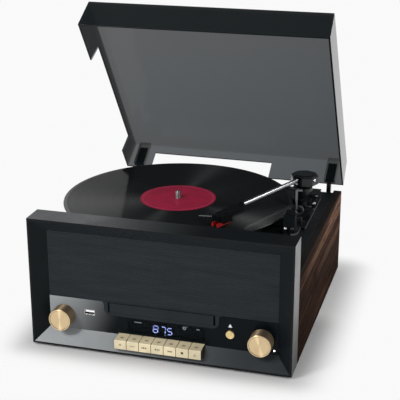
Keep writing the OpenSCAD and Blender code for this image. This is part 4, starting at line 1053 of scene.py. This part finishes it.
for name, shown, x, z, high in (("digit_tens", "8", -7.5, 34.7, 8.8), ("digit_ones", "7", 1.9, 34.6, 8.6),
                                ("digit_tenths", "5", 10.1, 33.9, 8.4)):
    place = at(x, 14.6, z)
    on_screen(digit(name, shown, place.x, place.z, 0.0056, high * MM, digit_light, place.y, 0.16))
    on_screen(digit(name + "_haze", shown, place.x, place.z, 0.0058, high * MM, digit_haze,
                    place.y + 0.00015, 0.36))
on_screen(ink("display_point", "bar", 4.2, 28.6, 1.7, 1.3, digit_light, screen_face))
lamps = [ink("lit_sign", shape, x, z, wide, high, finish, y) for shape, x, z, wide, high, finish, y in (
    ("dot", 28.5, 41.0, 4.4, 4.6, mark_light, screen_face),
    ("dot", 28.5, 41.0, 1.9, 2.1, screen_black, screen_face - 0.02),
    ("bar", 31.3, 43.0, 1.6, 0.7, mark_light, screen_face),
    ("bar", 45.3, 41.2, 4.2, 1.0, mark_light, screen_face),
    ("bar", -29.6, 40.7, 9.0, 1.0, mark_light, screen_face))]
on_screen(joined(lamps, "display_signs"))
with_node(ink("eject_print", "up", 84.8, 52.7, 4.6, 4.4, white_ink, panel_face), "control_panel")


# Room

def soft_box(name, azimuth, elevation, far, wide, high, power):
    """Area lamp that looks at the object; azimuth is measured from the front towards the left."""
    a, e = math.radians(azimuth), math.radians(elevation)
    aim = Vector((0.0, 0.0, 0.14))
    way = Vector((-math.sin(a) * math.cos(e), -math.cos(a) * math.cos(e), math.sin(e)))
    lamp = bpy.data.lights.new(name, "AREA")
    lamp.shape = "RECTANGLE"
    lamp.size, lamp.size_y = wide, high
    lamp.energy = power
    holder = bpy.data.objects.new(name, lamp)
    holder.location = aim + way * far
    holder.rotation_euler = (-way).to_track_quat("-Z", "Y").to_euler()
    bpy.context.scene.collection.objects.link(holder)
    return holder


soft_box("window light", 30.5, 32.5, 1.5, 0.36, 0.42, 10.5)
soft_box("pale card", 17, 37, 1.5, 0.55, 0.4, 1.6)
for name, azimuth, elevation, power in (("front fill", 5, 14, 5), ("right fill", -80, 38, 9)):
    soft_box(name, azimuth, elevation, 2.2, 1.6, 1.0, power).visible_glossy = False
soft_box("right card", -124, 37, 1.5, 0.4, 0.4, 12).visible_diffuse = False

# the room is white where it is seen, also in the gloss and through the lid, and dim at the ceiling
world = bpy.data.worlds.new("pale room")
bpy.context.scene.world = world
world.use_nodes = True
room = Wiring(world.node_tree)
room.tree.nodes.clear()
ray = room.node("ShaderNodeLightPath").outputs
seen = room.math("MAXIMUM", ray["Is Camera Ray"], ray["Is Glossy Ray"])
seen = room.math("MAXIMUM", seen, ray["Is Transmission Ray"])
way_out = room.node("ShaderNodeTexCoord").outputs["Generated"]
upward = room.node("ShaderNodeSeparateXYZ", None, Vector=way_out).outputs["Z"]
ceiling = room.remap(upward, 0.42, 0.85, 1.0, 0.3, "SMOOTHSTEP")
level = room.remap(seen, 0.0, 1.0, 1.05, 0.96)
sky = room.node("ShaderNodeBackground", None, Color=(1, 1, 1, 1),
                Strength=room.math("MULTIPLY", level, ceiling))
room.node("ShaderNodeOutputWorld", None, Surface=sky.outputs[0])

deselect()
ops.mesh.primitive_grid_add(x_subdivisions=8, y_subdivisions=8, size=12, location=(0, 0, 0))
floor = bpy.context.object
floor.name = "floor"
settle(floor)
paper = Finish("pale floor", (0.88, 0.88, 0.88), 0.8, Specular_IOR_Level=0.2)
floor_half = 0.162


def off_from(front, rear):
    """Distance on the floor from the rectangle that the object covers between two depths in mm."""
    off_middle = paper.vector("ABSOLUTE", paper.place(centre=at(0, (front + rear) / 2, 0)))
    beyond = paper.vector("SUBTRACT", off_middle, (floor_half, (rear - front) / 2 * MM, 1.0))
    return paper.vector("LENGTH", paper.vector("MAXIMUM", beyond))


# painted shadow: the pale card under the object is painted greyer close to it, and turns into the white of the
# room
mottle = paper.ramp(paper.noise(3, detail=2), (0.0, (0.86, 0.86, 0.86)), (1.0, (0.9, 0.9, 0.9)))
painted_shadow = paper.remap(off_from(0, 140), 0.0, 0.052, 0.64, 1.0, "SMOOTHSTEP")
paper.wire(paper.vector("SCALE", mottle, Scale=painted_shadow), "Base Color")
white = paper.node("ShaderNodeEmission", None, Strength=0.95).outputs[0]
share = paper.remap(off_from(0, 334), 0.002, 0.060, 0.0, 1.0, "SMOOTHSTEP")
mixed = paper.node("ShaderNodeMixShader", None, i0=share, i1=paper.shader.outputs[0], i2=white)
paper.feed(paper.tree.nodes["Material Output"].inputs["Surface"], mixed.outputs[0])
floor.data.materials.append(paper.material)

lens = bpy.data.cameras.new("camera")
lens.sensor_width = 36
lens.lens = 96.19
lens.clip_end = 20
camera = bpy.data.objects.new("camera", lens)
camera.location = (0.37428, -1.26632, 0.61069)
camera.rotation_euler = (math.radians(70.3), math.radians(0.04), math.radians(16.08))
bpy.context.scene.collection.objects.link(camera)
bpy.context.scene.camera = camera
bpy.context.scene.view_settings.view_transform = "Standard"

deselect()
